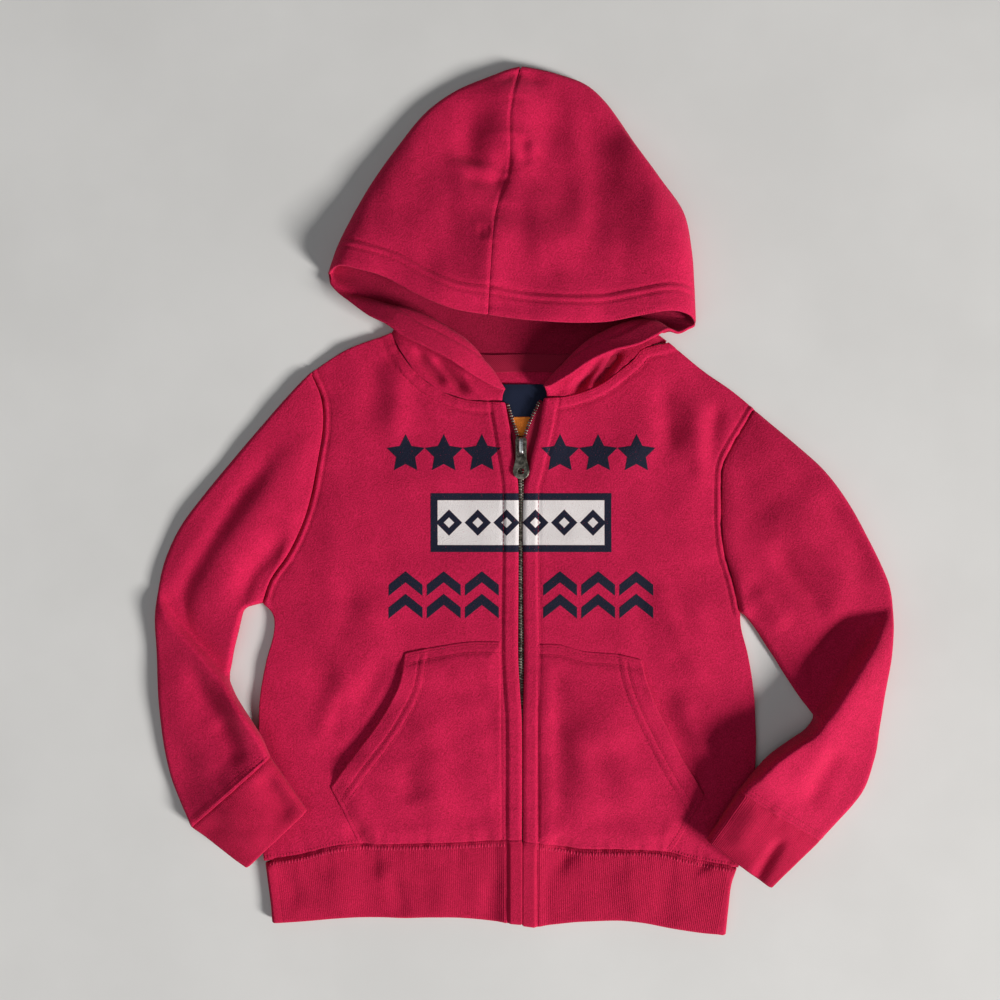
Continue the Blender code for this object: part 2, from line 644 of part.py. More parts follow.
# ---- hood ----------------------------------------------------------------------------------------------
def hood_heights(xy):
    """The heights of the hood's lower and upper layers, which meet in a rounded fold along its outline."""
    outline = join(smooth(HOOD_OUTLINE["right"])[::-1], smooth(HOOD_OUTLINE["left"]))
    inside = away_from(xy, outline)
    inside[inside < 1e-3] = 0.0
    turned = np.sqrt(1 - (1 - np.minimum(inside / HOOD_FOLD, 1)) ** 2)
    crown = HOOD_LOW + (HOOD_HIGH - HOOD_LOW) * ease(xy[..., 1], 300, 150) - 2 * HOOD_FOLD
    soft = 1 - np.exp(-inside / HOOD_RUN)
    upper = HOOD_FOLD + HOOD_FOLD * turned + (crown + folds_at(xy, HOOD_FOLDS)) * soft
    return HOOD_FOLD - HOOD_FOLD * turned, upper


def out_to_fold(width, count=8):
    """Shares of a row from the seam out to the outline, finer where the cloth turns at its end."""
    turn = np.array(HOOD_TURN) * min(1.0, width / 12) / width
    return np.concatenate([np.linspace(0, 1 - turn[0], count), 1 - turn[1:]])


def hood_layer(hand, seam, mouth):
    """The flat patch of one layer: rows that fan out from the seam to the outline, from tip to mouth."""
    outline = smooth(HOOD_OUTLINE[hand])
    rows = []
    for t in HOOD_ROW_AT:
        start, end = along(seam, np.array([t]))[0], along(outline, np.array([t]))[0]
        where = out_to_fold(max(np.linalg.norm(end - start), 0.1))[:, None]
        bow = along(mouth, where[:, 0]) - (mouth[0] + (mouth[-1] - mouth[0]) * where)
        rows.append(start + (end - start) * where + bow * ease(t, 0.5, 1.0))
    return np.array(rows)[::-1]


def hood_rows(hand):
    """The table's rows with one more between each two: the seam ends run straight, the rest in curves."""
    table = np.array(HOOD_ROWS[hand], float)
    at = lengths(table[:, 3:6])
    where = np.sort(np.concatenate([at, (at[1:] + at[:-1]) / 2]))
    rows = curved(table, at, where)
    for i in range(3):
        rows[:, i] = np.interp(where, at, table[:, i])
    return rows.reshape(-1, 4, 3)


def hood(hand):
    """Half of the hood: its lower layer, its upper layer, and the stretch below the mouth that turns out."""
    corner = np.array(HOOD_OUTLINE[hand][-1], float)
    back_seam = smooth(HOOD_BACK_SEAM)
    lower_xy = hood_layer(hand, back_seam, np.array([back_seam[-1], corner]))
    upper_xy = hood_layer(hand, smooth(HOOD_CROWN_SEAM), smooth(HOOD_MOUTH[hand]))
    lower = with_height(lower_xy, hood_heights(lower_xy)[0])
    upper = with_height(upper_xy, hood_heights(upper_xy)[1])
    where = np.linspace(0, 1, lower.shape[1])
    skirt = np.array([lower[0]] + [along(smooth(stops), where) for stops in hood_rows(hand)])[::-1]
    skirt[:-1, :, 2] = np.maximum(skirt[:-1, :, 2], 0.0)
    grids = [lower, upper[:, ::-1], skirt] if hand == "right" else [lower[:, ::-1], upper, skirt[:, ::-1]]
    for grid in grids:
        from_tip = np.linalg.norm(grid[..., :2] - np.array(HOOD_TIP), axis=-1)
        grid[..., 0] += (-SEAM if hand == "right" else SEAM) * (1 + 3 * np.exp(-from_tip / 10))
    return cloth("hood_" + hand, *grids)


# ---- neck tape and labels ------------------------------------------------------------------------------
def strip(line, near, far, low, thick, name, slot, height=None):
    """A flat strip beside a line, from near to far on its left, at height low or at height(y)."""
    run = np.gradient(line, axis=0)
    side = np.stack([-run[:, 1], run[:, 0]], axis=1) / np.linalg.norm(run, axis=1, keepdims=True)
    edges = [line + side * near, line + side * far]
    if height is None:
        rows = [with_height(edge, np.full(len(edge), low + thick)) for edge in edges]
    else:
        rows = [with_height(edge, height(edge[:, 1])) for edge in edges]
    return cloth(name, facing_up(np.array(rows)), wall=thick, slot=slot)


def neck_tape():
    """The strip that covers the back neck seam inside the garment."""
    line = along(smooth(BACK_NECK), np.linspace(*NECK_TAPE_SPAN, 19))
    near, far = NECK_TAPE_INSET
    return strip(line, -near, -far, FLEECE + REST, TAPE, "neck_tape", "fleece")


def rectangle(width, length, x, y):
    """The four corners of a rectangle about a centre."""
    corners = ((-1, -1), (1, -1), (1, 1), (-1, 1))
    return [(x + across * width / 2, y + up * length / 2) for across, up in corners]


# ---- zip -----------------------------------------------------------------------------------------------
def zip_side(hand):
    """The tape, which lies under the placket, and the row of teeth on its edge."""
    line = along(smooth(TEETH_LINE[hand]), steps(44, 0.88))
    out = 1 if hand == "right" else -1
    half = TEETH_WIDTH / 2

    def tape_top(y):
        return TAPE_LIES_AT + TAPE + zip_lift(y)

    def teeth_top(y):
        return tape_top(y) + SEAM + TEETH_THICK

    strip(line, -out * half * 0.6, out * ZIP_TAPE_WIDTH, 0, TAPE, "zip_tape_" + hand, "zip_tape", tape_top)
    strip(line, -out * half, out * half, 0, TEETH_THICK, "zip_teeth_" + hand, "zip_metal", teeth_top)


def rounded(width, length, x, y, radius, turns=5):
    """A rectangle's outline with rounded corners."""
    corners = ((1, 1, 0), (-1, 1, 90), (-1, -1, 180), (1, -1, 270))
    line = []
    for sx, sy, start in corners:
        cx, cy = x + sx * (width / 2 - radius), y + sy * (length / 2 - radius)
        for a in np.radians(start + np.linspace(0, 90, turns)):
            line.append((cx + radius * math.cos(a), cy + radius * math.sin(a)))
    return line


def circle(radius, x, y, count=16):
    """A circle's outline."""
    turn = np.linspace(0, 2 * math.pi, count + 1)[:-1]
    return [(x + radius * math.cos(a), y + radius * math.sin(a)) for a in turn]


def block(name, low, high):
    """A helper block in the collection of joined blocks, used by a Boolean and not part of the garment."""
    low, high = np.array(low) / 1000, np.array(high) / 1000
    shape = bmesh.new()
    for vert in bmesh.ops.create_cube(shape, size=1.0)["verts"]:
        for i in range(3):
            vert.co[i] = (low[i] + high[i]) / 2 + vert.co[i] * (high[i] - low[i])
    mesh = bpy.data.meshes.new(name)
    shape.to_mesh(mesh)
    shape.free()
    obj = bpy.data.objects.new(name, mesh)
    bpy.data.collections["joined_blocks"].objects.link(obj)
    obj.hide_render = True
    obj.display_type = "WIRE"
    return obj


def slider_levels():
    """The heights of the slider's plates: the chain runs between the two of them."""
    chain_top = TAPE_LIES_AT + TAPE + SEAM + TEETH_THICK + SLIDER_LIFT
    low_plate = FLEECE + REST
    return low_plate, chain_top + PLATE_OVER_TEETH


def zip_slider():
    """Two plates with a wedge between them at the upper end, and the bridge that holds the pull."""
    x, y = SLIDER_CENTRE
    low_plate, high_plate = slider_levels()
    outline = rounded(SLIDER_WIDTH, SLIDER_LENGTH, x, y, SLIDER_CORNER)
    obj = plate("zip_slider", outline, PLATE, high_plate, "zip_metal")
    low_width, wedge_width, bridge_width = LOW_PLATE_WIDTH / 2, WEDGE_WIDTH / 2, BRIDGE_WIDTH / 2
    low_half = SLIDER_LENGTH / 2 - LOW_PLATE_INSET
    bridge_end = y + SLIDER_LENGTH / 2 - BRIDGE_INSET
    bridge_start = bridge_end - BRIDGE_SPAN
    leg_foot = high_plate + PLATE - SINK
    bridge_top = high_plate + PLATE + BRIDGE_HEIGHT
    leg_top = bridge_top - SINK
    blocks = [
        block(
            "wedge",
            (x - wedge_width, y + low_half - WEDGE_LENGTH, low_plate + SINK),
            (x + wedge_width, y + low_half, high_plate + SINK),
        ),
        block(
            "low_plate",
            (x - low_width, y - low_half, low_plate),
            (x + low_width, y + low_half, low_plate + PLATE),
        ),
        block(
            "bridge_bar",
            (x - bridge_width, bridge_start, bridge_top - BRIDGE_THICK),
            (x + bridge_width, bridge_end, bridge_top),
        ),
        block(
            "bridge_upper_leg",
            (x - bridge_width, bridge_end - BRIDGE_LEG, leg_foot),
            (x + bridge_width, bridge_end, leg_top),
        ),
        block(
            "bridge_lower_leg",
            (x - bridge_width, bridge_start, leg_foot),
            (x + bridge_width, bridge_start + BRIDGE_LEG, leg_top),
        ),
    ]
    for helper in blocks:
        union = obj.modifiers.new(helper.name, "BOOLEAN")
        union.operation = "UNION"
        union.object = helper
    return obj


def pull_axis():
    """The line that the pull swings about: its top bar, under the slider's bridge."""
    x, y = SLIDER_CENTRE
    bar_from_end = BRIDGE_INSET + BRIDGE_LEG + PULL_THICK + PULL_CLEAR
    top = slider_levels()[1] + PLATE
    return x, y + SLIDER_LENGTH / 2 - bar_from_end, top + PULL_OVER_PLATE + PULL_THICK / 2


def zip_pull():
    """The flat pull: a slot that clears the bridge, a neck, and a wider round end with a hole."""
    holder = bpy.data.objects.new("pull_axis", None)
    bpy.data.collections["hoodie"].objects.link(holder)
    holder.location = [value / 1000 for value in pull_axis()]
    top = PULL_THICK / 2
    foot = top - PULL_LENGTH
    neck, head = PULL_NECK / 2, PULL_HEAD / 2
    turn = np.linspace(-math.pi, 0, 13)
    half_outline = [(neck - PULL_CORNER, top), (neck, top - PULL_CORNER), (neck, foot + PULL_NECK_FROM)]
    outline = [(head * math.cos(a), foot + head + head * math.sin(a)) for a in turn]
    outline += half_outline[::-1] + [(-across, up) for across, up in half_outline]
    slot_width, slot_length = PULL_SLOT
    slot = rounded(slot_width, slot_length, 0, top - PULL_THICK - slot_length / 2, PULL_SLOT_CORNER)
    hole = circle(PULL_HOLE / 2, 0, foot + head)
    return plate("zip_pull", outline, PULL_THICK, -PULL_THICK / 2, "zip_metal", holder, [slot, hole])


def main():
    """Make every piece of the garment."""
    clear_scene()
    for name in ("hoodie", "joined_blocks"):
        bpy.context.scene.collection.children.link(bpy.data.collections.new(name))
    back()
    for hand in ("right", "left"):
        front(hand)
        pocket(hand)
        sleeve(hand)
        cuff(hand)
        hood(hand)
        zip_side(hand)
    hem_band()
    neck_tape()
    plate("neck_label", rectangle(*LABEL), TAPE, FLEECE + REST, "label")
    plate("size_tag", rectangle(*SIZE_TAG), TAPE, FLEECE + REST, "size_tag")
    zip_slider()
    zip_pull()


main()
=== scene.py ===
"""Dresses the child's zip-up hoodie that lies flat: its cloth, ribs, zip, stitching, finishes and studio.

Lengths in the tables are millimetres in the garment's own frame: the wearer's right at -X, +Y from the hem up to
the hood, +Z up from the surface that it lies on. Meshes are made in metres.
"""

import logging
import math
from collections.abc import Sequence
from dataclasses import dataclass
from enum import Enum
from functools import partialmethod
from typing import Protocol

import bmesh
import bpy
import numpy as np
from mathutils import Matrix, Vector
from mathutils.bvhtree import BVHTree


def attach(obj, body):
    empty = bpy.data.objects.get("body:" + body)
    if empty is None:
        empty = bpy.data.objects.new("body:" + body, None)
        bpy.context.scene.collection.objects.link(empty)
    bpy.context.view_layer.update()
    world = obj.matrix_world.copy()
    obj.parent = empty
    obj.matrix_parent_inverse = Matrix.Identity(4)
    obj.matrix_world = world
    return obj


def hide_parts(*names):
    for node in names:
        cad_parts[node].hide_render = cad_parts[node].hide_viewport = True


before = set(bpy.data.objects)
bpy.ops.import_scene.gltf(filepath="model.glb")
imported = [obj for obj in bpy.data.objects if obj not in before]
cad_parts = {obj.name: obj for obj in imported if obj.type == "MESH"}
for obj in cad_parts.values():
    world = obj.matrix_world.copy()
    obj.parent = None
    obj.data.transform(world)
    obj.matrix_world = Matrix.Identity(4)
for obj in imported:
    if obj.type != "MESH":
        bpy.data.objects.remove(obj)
log = logging.getLogger("hoodie")

Points = np.ndarray
Line = Sequence[tuple[float, float]]
Triple = tuple[float, float, float]
Piece = bpy.types.Object

# ---- sizes that several pieces share ----
FLEECE = 2.0  # wall of the fleece
RIB = 2.4  # wall of the ribs
TAPE = 1.0  # wall of the tapes and labels
SEAM = 0.25  # half of the gap that a seam leaves between two panels
REST = 0.4  # gap between a panel and what it lies on
FRONT_LIES_AT = 2.3
FRONT_CROWN = 2.6
CROWN_RUN = 25.0
PLACKET_RUN = 20.0
BAND_INSIDE = 1.8
TAPE_LIES_AT = 2.8
TEETH_THICK = 2.0
ZIP_RISE = (2.0, -20.0, 28.0)  # the zip lies this much higher over the slider's lower plate, from y to y


class Hand(Enum):
    """A side of the garment, as its wearer names it."""

    RIGHT = "right"
    LEFT = "left"

    @property
    def outward(self) -> int:
        """The sign of X on this side."""
        return -1 if self is Hand.RIGHT else 1


RIGHT, LEFT = Hand


# ---- lines and surfaces ----
def lengths(line: Points) -> Points:
    """How far along it each point of a line is."""
    return np.concatenate([[0.0], np.cumsum(np.linalg.norm(np.diff(line, axis=0), axis=1))])


def curved(rows: Points, at: Points, where: Points) -> Points:
    """Reads rows that stand at the places at along a curve through all of them.

    Args:
        rows: one row of values for each place.
        at: the places of the rows, rising.
        where: the places to read.

    Returns:
        One row of values for each place in where.
    """
    slope = np.empty_like(rows)
    slope[1:-1] = (rows[2:] - rows[:-2]) / (at[2:] - at[:-2])[:, None]
    slope[0] = (rows[1] - rows[0]) / (at[1] - at[0])
    slope[-1] = (rows[-1] - rows[-2]) / (at[-1] - at[-2])
    i = np.clip(np.searchsorted(at, where, side="right") - 1, 0, len(at) - 2)
    span = (at[i + 1] - at[i])[:, None]
    k = (where - at[i])[:, None] / span
    return (
        (2 * k**3 - 3 * k**2 + 1) * rows[i]
        + (k**3 - 2 * k**2 + k) * span * slope[i]
        + (3 * k**2 - 2 * k**3) * rows[i + 1]
        + (k**3 - k**2) * span * slope[i + 1]
    )


def smooth(points: Line, per_span: int = 10) -> Points:
    """A curve through the points, as a dense line, with each tangent set by the points on either side.

    Args:
        points: what the curve passes through.
        per_span: how many places from one point to the next.

    Returns:
        The points of the curve.
    """
    knots = np.array(points, float)
    if len(knots) < 3:
        return knots
    at = lengths(knots)
    where = [a + (b - a) * np.arange(per_span) / per_span for a, b in zip(at[:-1], at[1:])]
    return curved(knots, at, np.concatenate([*where, at[-1:]]))


def join(*lines: Points) -> Points:
    """Lines laid end to end, with a sharp turn where two of them meet."""
    return np.concatenate([lines[0]] + [line[1:] for line in lines[1:]])


def shares(line: Points) -> Points:
    """How far along its length each point of a line is, from 0 to 1."""
    at = lengths(line)
    return at / at[-1]


def joined(first: Points, second: Points) -> tuple[Points, float]:
    """Two lines laid end to end, and at what share of the whole they meet."""
    whole = join(first, second)
    return whole, shares(whole)[len(first) - 1]


def along(line: Points, where: Points) -> Points:
    """Points of a line at the given shares of its length."""
    at = shares(line)
    return np.stack([np.interp(where, at, line[:, i]) for i in range(line.shape[1])], axis=-1)


def spread(length: float, coarse: float, first: float, last: float, reach: float,
           stops: Sequence[float] = ()) -> Points:
    """Shares from 0 to 1 whose steps are coarse in the middle and finer towards the two ends.

    Args:
        length: the length that the shares divide.
        coarse: the step in the middle.
        first: the step at the start.
        last: the step at the end.
        reach: over what length a fine step gives way to the coarse one.
        stops: shares that are hit exactly.

    Returns:
        The shares, rising.
    """
    s = np.linspace(0, length, 2001)
    step = coarse - (coarse - first) * np.exp(-((s / reach) ** 4))
    step -= (coarse - last) * np.exp(-(((length - s) / reach) ** 4))
    count = np.concatenate([[0.0], np.cumsum((s[1:] - s[:-1]) / step[1:])])
    where = np.interp(np.linspace(0, count[-1], round(count[-1]) + 1), count, s / length)
    for stop in stops:
        where[1 + np.argmin(np.abs(where[1:-1] - stop))] = stop
    return where


def coons(low: Points, high: Points, first: Points, last: Points, across: Points, up: Points) -> Points:
    """The flat patch between four lines: low and high run across, first and last run up.

    Args:
        low, high: the lines at the start and the end of up.
        first, last: the lines at the start and the end of across.
        across, up: the shares of the way at which the patch has columns and rows.

    Returns:
        The grid of points, a row for each share in up.
    """
    a, b = along(low, across), along(high, across)
    c, d = along(first, up), along(last, up)
    s, t = across[None, :, None], up[:, None, None]
    ruled = (1 - t) * a[None] + t * b[None] + (1 - s) * c[:, None] + s * d[:, None]
    corners = (1 - s) * (1 - t) * low[0] + s * (1 - t) * low[-1] + (1 - s) * t * high[0] + s * t * high[-1]
    return ruled - corners


def beside(xy: Points, line: Points) -> tuple[Points, Points, Points]:
    """Where points lie beside a line.

    Args:
        xy: the points, in any grid.
        line: the line's points.

    Returns:
        Each point's distance from the line, 1 where it lies on the line's left and -1 on its right, and how far
        along the line's length the nearest place is, from 0 to 1.
    """
    flat = xy.reshape(-1, xy.shape[-1])[:, :2]
    start, run = line[:-1, :2], np.diff(line[:, :2], axis=0)
    size = np.maximum((run**2).sum(-1), 1e-9)
    at = lengths(line[:, :2])
    distance, side, share = (np.empty(len(flat)) for _ in range(3))
    for low in range(0, len(flat), 8000):
        part = slice(low, low + 8000)
        offset = flat[part, None] - start
        k = np.clip((offset * run).sum(-1) / size, 0, 1)
        away = np.linalg.norm(offset - k[..., None] * run, axis=-1)
        i = away.argmin(axis=-1)
        rows = np.arange(len(i))
        cross = run[i, 0] * offset[rows, i, 1] - run[i, 1] * offset[rows, i, 0]
        distance[part] = away[rows, i]
        side[part] = np.where(cross >= 0, 1.0, -1.0)
        share[part] = (at[i] + k[rows, i] * (at[i + 1] - at[i])) / at[-1]
    shape = xy.shape[:-1]
    return distance.reshape(shape), side.reshape(shape), share.reshape(shape)


def away_from(xy: Points, line: Points) -> Points:
    """The distance of each point of xy from a line."""
    return beside(xy, line)[0]


def ease(value: Points, start: float, end: float) -> Points:
    """0 at start, 1 at end, and smooth between them."""
    k = np.clip((value - start) / (end - start), 0, 1)
    return k * k * (3 - 2 * k)


def bell(distance: Points, width: float) -> Points:
    """1 on a line and 0 away from it."""
    return np.exp(-((distance / width) ** 2))


def with_height(xy: Points, height: Points) -> Points:
    """Flat points with their heights added."""
    return np.concatenate([xy, height[..., None]], axis=-1)


def grid_normals(grid: Points, ring: bool = False) -> Points:
    """The unit normals of a grid of points, on the side that its faces look to.

    Args:
        grid: rows of points.
        ring: whether the last column meets the first.

    Returns:
        One normal for each point.
    """
    wide = np.concatenate([grid[:, -1:], grid, grid[:, :1]], axis=1) if ring else grid
    across, up = np.gradient(wide, axis=1), np.gradient(wide, axis=0)
    normal = np.cross(across, up)
    normal /= np.maximum(np.linalg.norm(normal, axis=-1, keepdims=True), 1e-9)
    return normal[:, 1:-1] if ring else normal


# ---- relief of the cloth ----
@dataclass(frozen=True)
class Crease:
    """A soft ridge, with its height above 0, or a trough below 0, along a line, tapered at both ends."""

    line: Line
    height: float
    width: float

    def at(self, xy: Points) -> Points:
        """The height that it adds at each point."""
        distance, _, share = beside(xy, smooth(self.line))
        return self.height * ease(share, 0, 0.3) * ease(share, 1, 0.7) * bell(distance, self.width)


@dataclass(frozen=True)
class Overlap:
    """A step where one stretch of cloth lies over the next one, which is on the line's right."""

    line: Line
    high: float
    low: float
    run_high: float
    run_low: float
    crisp: float = 1.4

    def at(self, xy: Points) -> Points:
        """The height that it adds at each point.

        Args:
            xy: flat points, in any grid.

        Returns:
            What is added to the height at each point.
        """
        distance, side, share = beside(xy, smooth(self.line))
        over = self.high * bell(distance, self.run_high)
        under = -self.low * bell(distance, self.run_low)
        step = np.tanh(distance / self.crisp) * np.where(side > 0, over, under)
        return step * ease(share, 0, 0.25) * ease(share, 1, 0.85)


def creases(*rows: tuple[float, ...]) -> list[Crease]:
    """Creases from rows of numbers: the height, the width, then x and y of each point of the line."""
    return [Crease(list(zip(row[2::2], row[3::2])), row[0], row[1]) for row in rows]


def relief(xy: Points, folds: Sequence[Crease | Overlap]) -> Points:
    """The height that a list of folds adds at each point."""
    return sum((fold.at(xy) for fold in folds), np.zeros(xy.shape[:-1]))


def lumps(xy: Points, seed: int, height: float, shortest: float = 13.0, longest: float = 48.0) -> Points:
    """The uneven lie of soft cloth: many shallow waves of seeded lengths and directions.

    Args:
        xy: the points.
        seed: which set of waves.
        height: the usual height of the sum.
        shortest: the shortest wave.
        longest: the longest wave.

    Returns:
        A height for each point.
    """
    rng = np.random.default_rng(seed)
    total = np.zeros(xy.shape[:-1])
    count = 16
    for _ in range(count):
        size, turn, phase = rng.uniform(shortest, longest), rng.uniform(0, math.pi), rng.uniform(0, math.tau)
        across = xy[..., 0] * math.cos(turn) + xy[..., 1] * math.sin(turn)
        total += np.sin(math.tau * across / size + phase) * size / longest
    return height * total / math.sqrt(count / 2)


def puckers(at: Points, distance: Points, height: float, pitch: float, reach: float, seed: int) -> Points:
    """The short gathers that a seam draws into the cloth beside it.

    Args:
        at: how far along the seam each point is.
        distance: how far from the seam.
        height: the height of the gathers at the seam.
        pitch: their usual distance from each other.
        reach: how far they run into the cloth.
        seed: which set of gathers.

    Returns:
        A height for each point.
    """
    rng = np.random.default_rng(seed)
    total = np.zeros(np.shape(at))
    for factor in (0.72, 1.0, 1.37):
        total += np.sin(math.tau * at / (pitch * factor) + rng.uniform(0, math.tau))
    return height / 1.7 * total * np.exp(-distance / reach)


# ---- meshes ----
def placed(name: str, data: bpy.types.ID) -> Piece:
    """A new object with this data, in the scene's collection.

    Args:
        name: the object's name.
        data: the mesh, lamp or camera that it shows.

    Returns:
        The object.
    """
    obj = bpy.data.objects.new(name, data)
    bpy.context.scene.collection.objects.link(obj)
    return obj


def mesh_object(name: str, points: Points, faces: list[Sequence[int]]) -> Piece:
    """A smooth mesh object of points in millimetres.

    Args:
        name: the object's name.
        points: the corners.
        faces: each face's corners, by number.

    Returns:
        The object.
    """
    mesh = bpy.data.meshes.new(name)
    mesh.from_pydata((np.asarray(points) / 1000).tolist(), [], faces)
    mesh.shade_smooth()
    return placed(name, mesh)


def shell(name: str, grids: Sequence[Points], wall: float, ring: bool = False, seams: Points | None = None,
          seam_edge: float = 0.3, base: Points | None = None) -> Piece:
    """A cloth piece as a closed wall, from the grids of its outer face.

    Args:
        name: the piece's name.
        grids: grids of points, welded where they meet.
        wall: the cloth's thickness.
        ring: whether each grid's last column meets its first.
        seams: points of the edges that a seam joins to a neighbour. Every other edge is fully rounded.
        seam_edge: how far the cloth swells past its edge at a seam.
        base: the only grid as it is without its ribs, which the inner face follows.

    Returns:
        The new object.
    """
    shape = bmesh.new()
    for grid in grids:
        rows = [[shape.verts.new(point) for point in row] for row in grid.tolist()]
        last = len(rows[0]) if ring else len(rows[0]) - 1
        for near, far in zip(rows[:-1], rows[1:]):
            for i in range(last):
                j = (i + 1) % len(near)
                shape.faces.new((near[i], near[j], far[j], far[i]))
    if base is None:
        bmesh.ops.remove_doubles(shape, verts=shape.verts, dist=0.03)
    shape.normal_update()
    shape.verts.index_update()
    outer = np.array([vert.co for vert in shape.verts])
    normal = np.array([vert.normal for vert in shape.verts])
    inner = outer - normal * wall
    if base is not None:
        normal = grid_normals(base, ring).reshape(-1, 3)
        inner = base.reshape(-1, 3) - normal * wall
    faces = [[vert.index for vert in face.verts] for face in shape.faces]
    edges = []
    for edge in shape.edges:
        if edge.is_boundary:
            loop = edge.link_loops[0]
            edges.append((loop.vert.index, loop.link_loop_next.vert.index))
    shape.free()
    count = len(outer)
    faces += [[i + count for i in reversed(face)] for face in faces]
    points = [outer, inner]
    if edges:
        run = np.array(edges)
        out = np.zeros_like(outer)
        for end in (0, 1):
            np.add.at(out, run[:, end], np.cross(outer[run[:, 1]] - outer[run[:, 0]], normal[run[:, end]]))
        rim = np.unique(run)
        out = out[rim]
        out -= normal[rim] * (out * normal[rim]).sum(-1, keepdims=True)
        out /= np.maximum(np.linalg.norm(out, axis=-1, keepdims=True), 1e-9)
        swell = np.full(len(rim), wall / 2)
        if seams is not None:
            nearest = np.linalg.norm(outer[rim][:, None] - seams[None], axis=-1).min(axis=1)
            swell = np.where(nearest < 0.8, seam_edge, swell)
        where = {vert: i for i, vert in enumerate(rim.tolist())}
        turns = np.radians((40, 90, 140))
        for turn in turns:
            middle = outer[rim] - normal[rim] * wall / 2
            swung = out * (swell * math.sin(turn))[:, None]
            points.append(middle + normal[rim] * wall / 2 * math.cos(turn) + swung)
        for a, b in edges:
            ladder = [(a, b)]
            for level in range(len(turns)):
                start = 2 * count + level * len(rim)
                ladder.append((start + where[a], start + where[b]))
            ladder.append((a + count, b + count))
            for (low_a, low_b), (high_a, high_b) in zip(ladder, ladder[1:]):
                faces.append((low_b, low_a, high_a, high_b))
    return mesh_object(name, np.concatenate(points), faces)


def rod_faces(levels: int, count: int) -> list[tuple[int, ...]]:
    """The faces round a rod of levels + 1 rings of count points each, then its two ends.

    Args:
        levels: how many steps the rod has along its length.
        count: how many points a ring has.

    Returns:
        Each face's corners, by number.
    """
    faces = []
    for low in range(0, levels * count, count):
        for i in range(count):
            j = (i + 1) % count
            faces.append((low + j, low + i, low + count + i, low + count + j))
    return [*faces, tuple(range(count)), tuple(reversed(range(levels * count, (levels + 1) * count)))]


def plate(name: str, lines: Sequence[Points], thick: float, middle: float, edge: float = 0.2) -> Piece:
    """A flat plate with rounded edges, from its outline and the outlines of its holes.

    Args:
        name: the piece's name.
        lines: closed outlines in x and y.
        thick: the plate's thickness.
        middle: the height of its middle.
        edge: how far its edges are rounded.

    Returns:
        The new object.
    """
    curve = bpy.data.curves.new(name, "CURVE")
    curve.dimensions = "2D"
    curve.fill_mode = "BOTH"
    curve.extrude = (thick / 2 - edge) / 1000
    curve.bevel_depth = edge / 1000
    curve.offset = -edge / 1000
    curve.bevel_resolution = 2
    for line in lines:
        spline = curve.splines.new("POLY")
        spline.points.add(len(line) - 1)
        for point, (x, y) in zip(spline.points, line):
            point.co = (x / 1000, y / 1000, 0, 1)
        spline.use_cyclic_u = True
    drawn = placed(name + "_outline", curve)
    bpy.context.view_layer.update()
    mesh = bpy.data.meshes.new_from_object(drawn.evaluated_get(bpy.context.evaluated_depsgraph_get()))
    bpy.data.objects.remove(drawn, do_unlink=True)
    shape = bmesh.new()
    shape.from_mesh(mesh)
    bmesh.ops.translate(shape, verts=shape.verts, vec=(0, 0, middle / 1000))
    bmesh.ops.remove_doubles(shape, verts=shape.verts, dist=1e-6)
    bmesh.ops.recalc_face_normals(shape, faces=shape.faces)
    shape.to_mesh(mesh)
    shape.free()
    mesh.materials.clear()
    mesh.shade_smooth()
    mesh.set_sharp_from_angle(angle=math.radians(38))
    return placed(name, mesh)


def rounded(width: float, length: float, x: float, y: float, radius: float, turns: int = 8) -> Points:
    """A rectangle's outline with rounded corners, about a centre.

    Args:
        width, length: the rectangle's size.
        x, y: its centre.
        radius: the radius of its corners.
        turns: how many points a corner has.

    Returns:
        The outline's points, anticlockwise.
    """
    line = []
    for sx, sy, start in ((1, 1, 0), (-1, 1, 90), (-1, -1, 180), (1, -1, 270)):
        cx, cy = x + sx * (width / 2 - radius), y + sy * (length / 2 - radius)
        for a in np.radians(start + np.linspace(0, 90, turns)):
            line.append((cx + radius * math.cos(a), cy + radius * math.sin(a)))
    return np.array(line)


def facing_up(grid: Points) -> Points:
    """The grid with its columns in the order that makes its faces look up."""
    a, b, c = grid[0, 0], grid[0, 1], grid[1, 0]
    return grid if np.cross(b - a, c - a)[2] > 0 else grid[:, ::-1]


# ---- finishes ----
CLOTH_ROUGH = 0.93
Socket = bpy.types.NodeSocket
Value = float | Socket


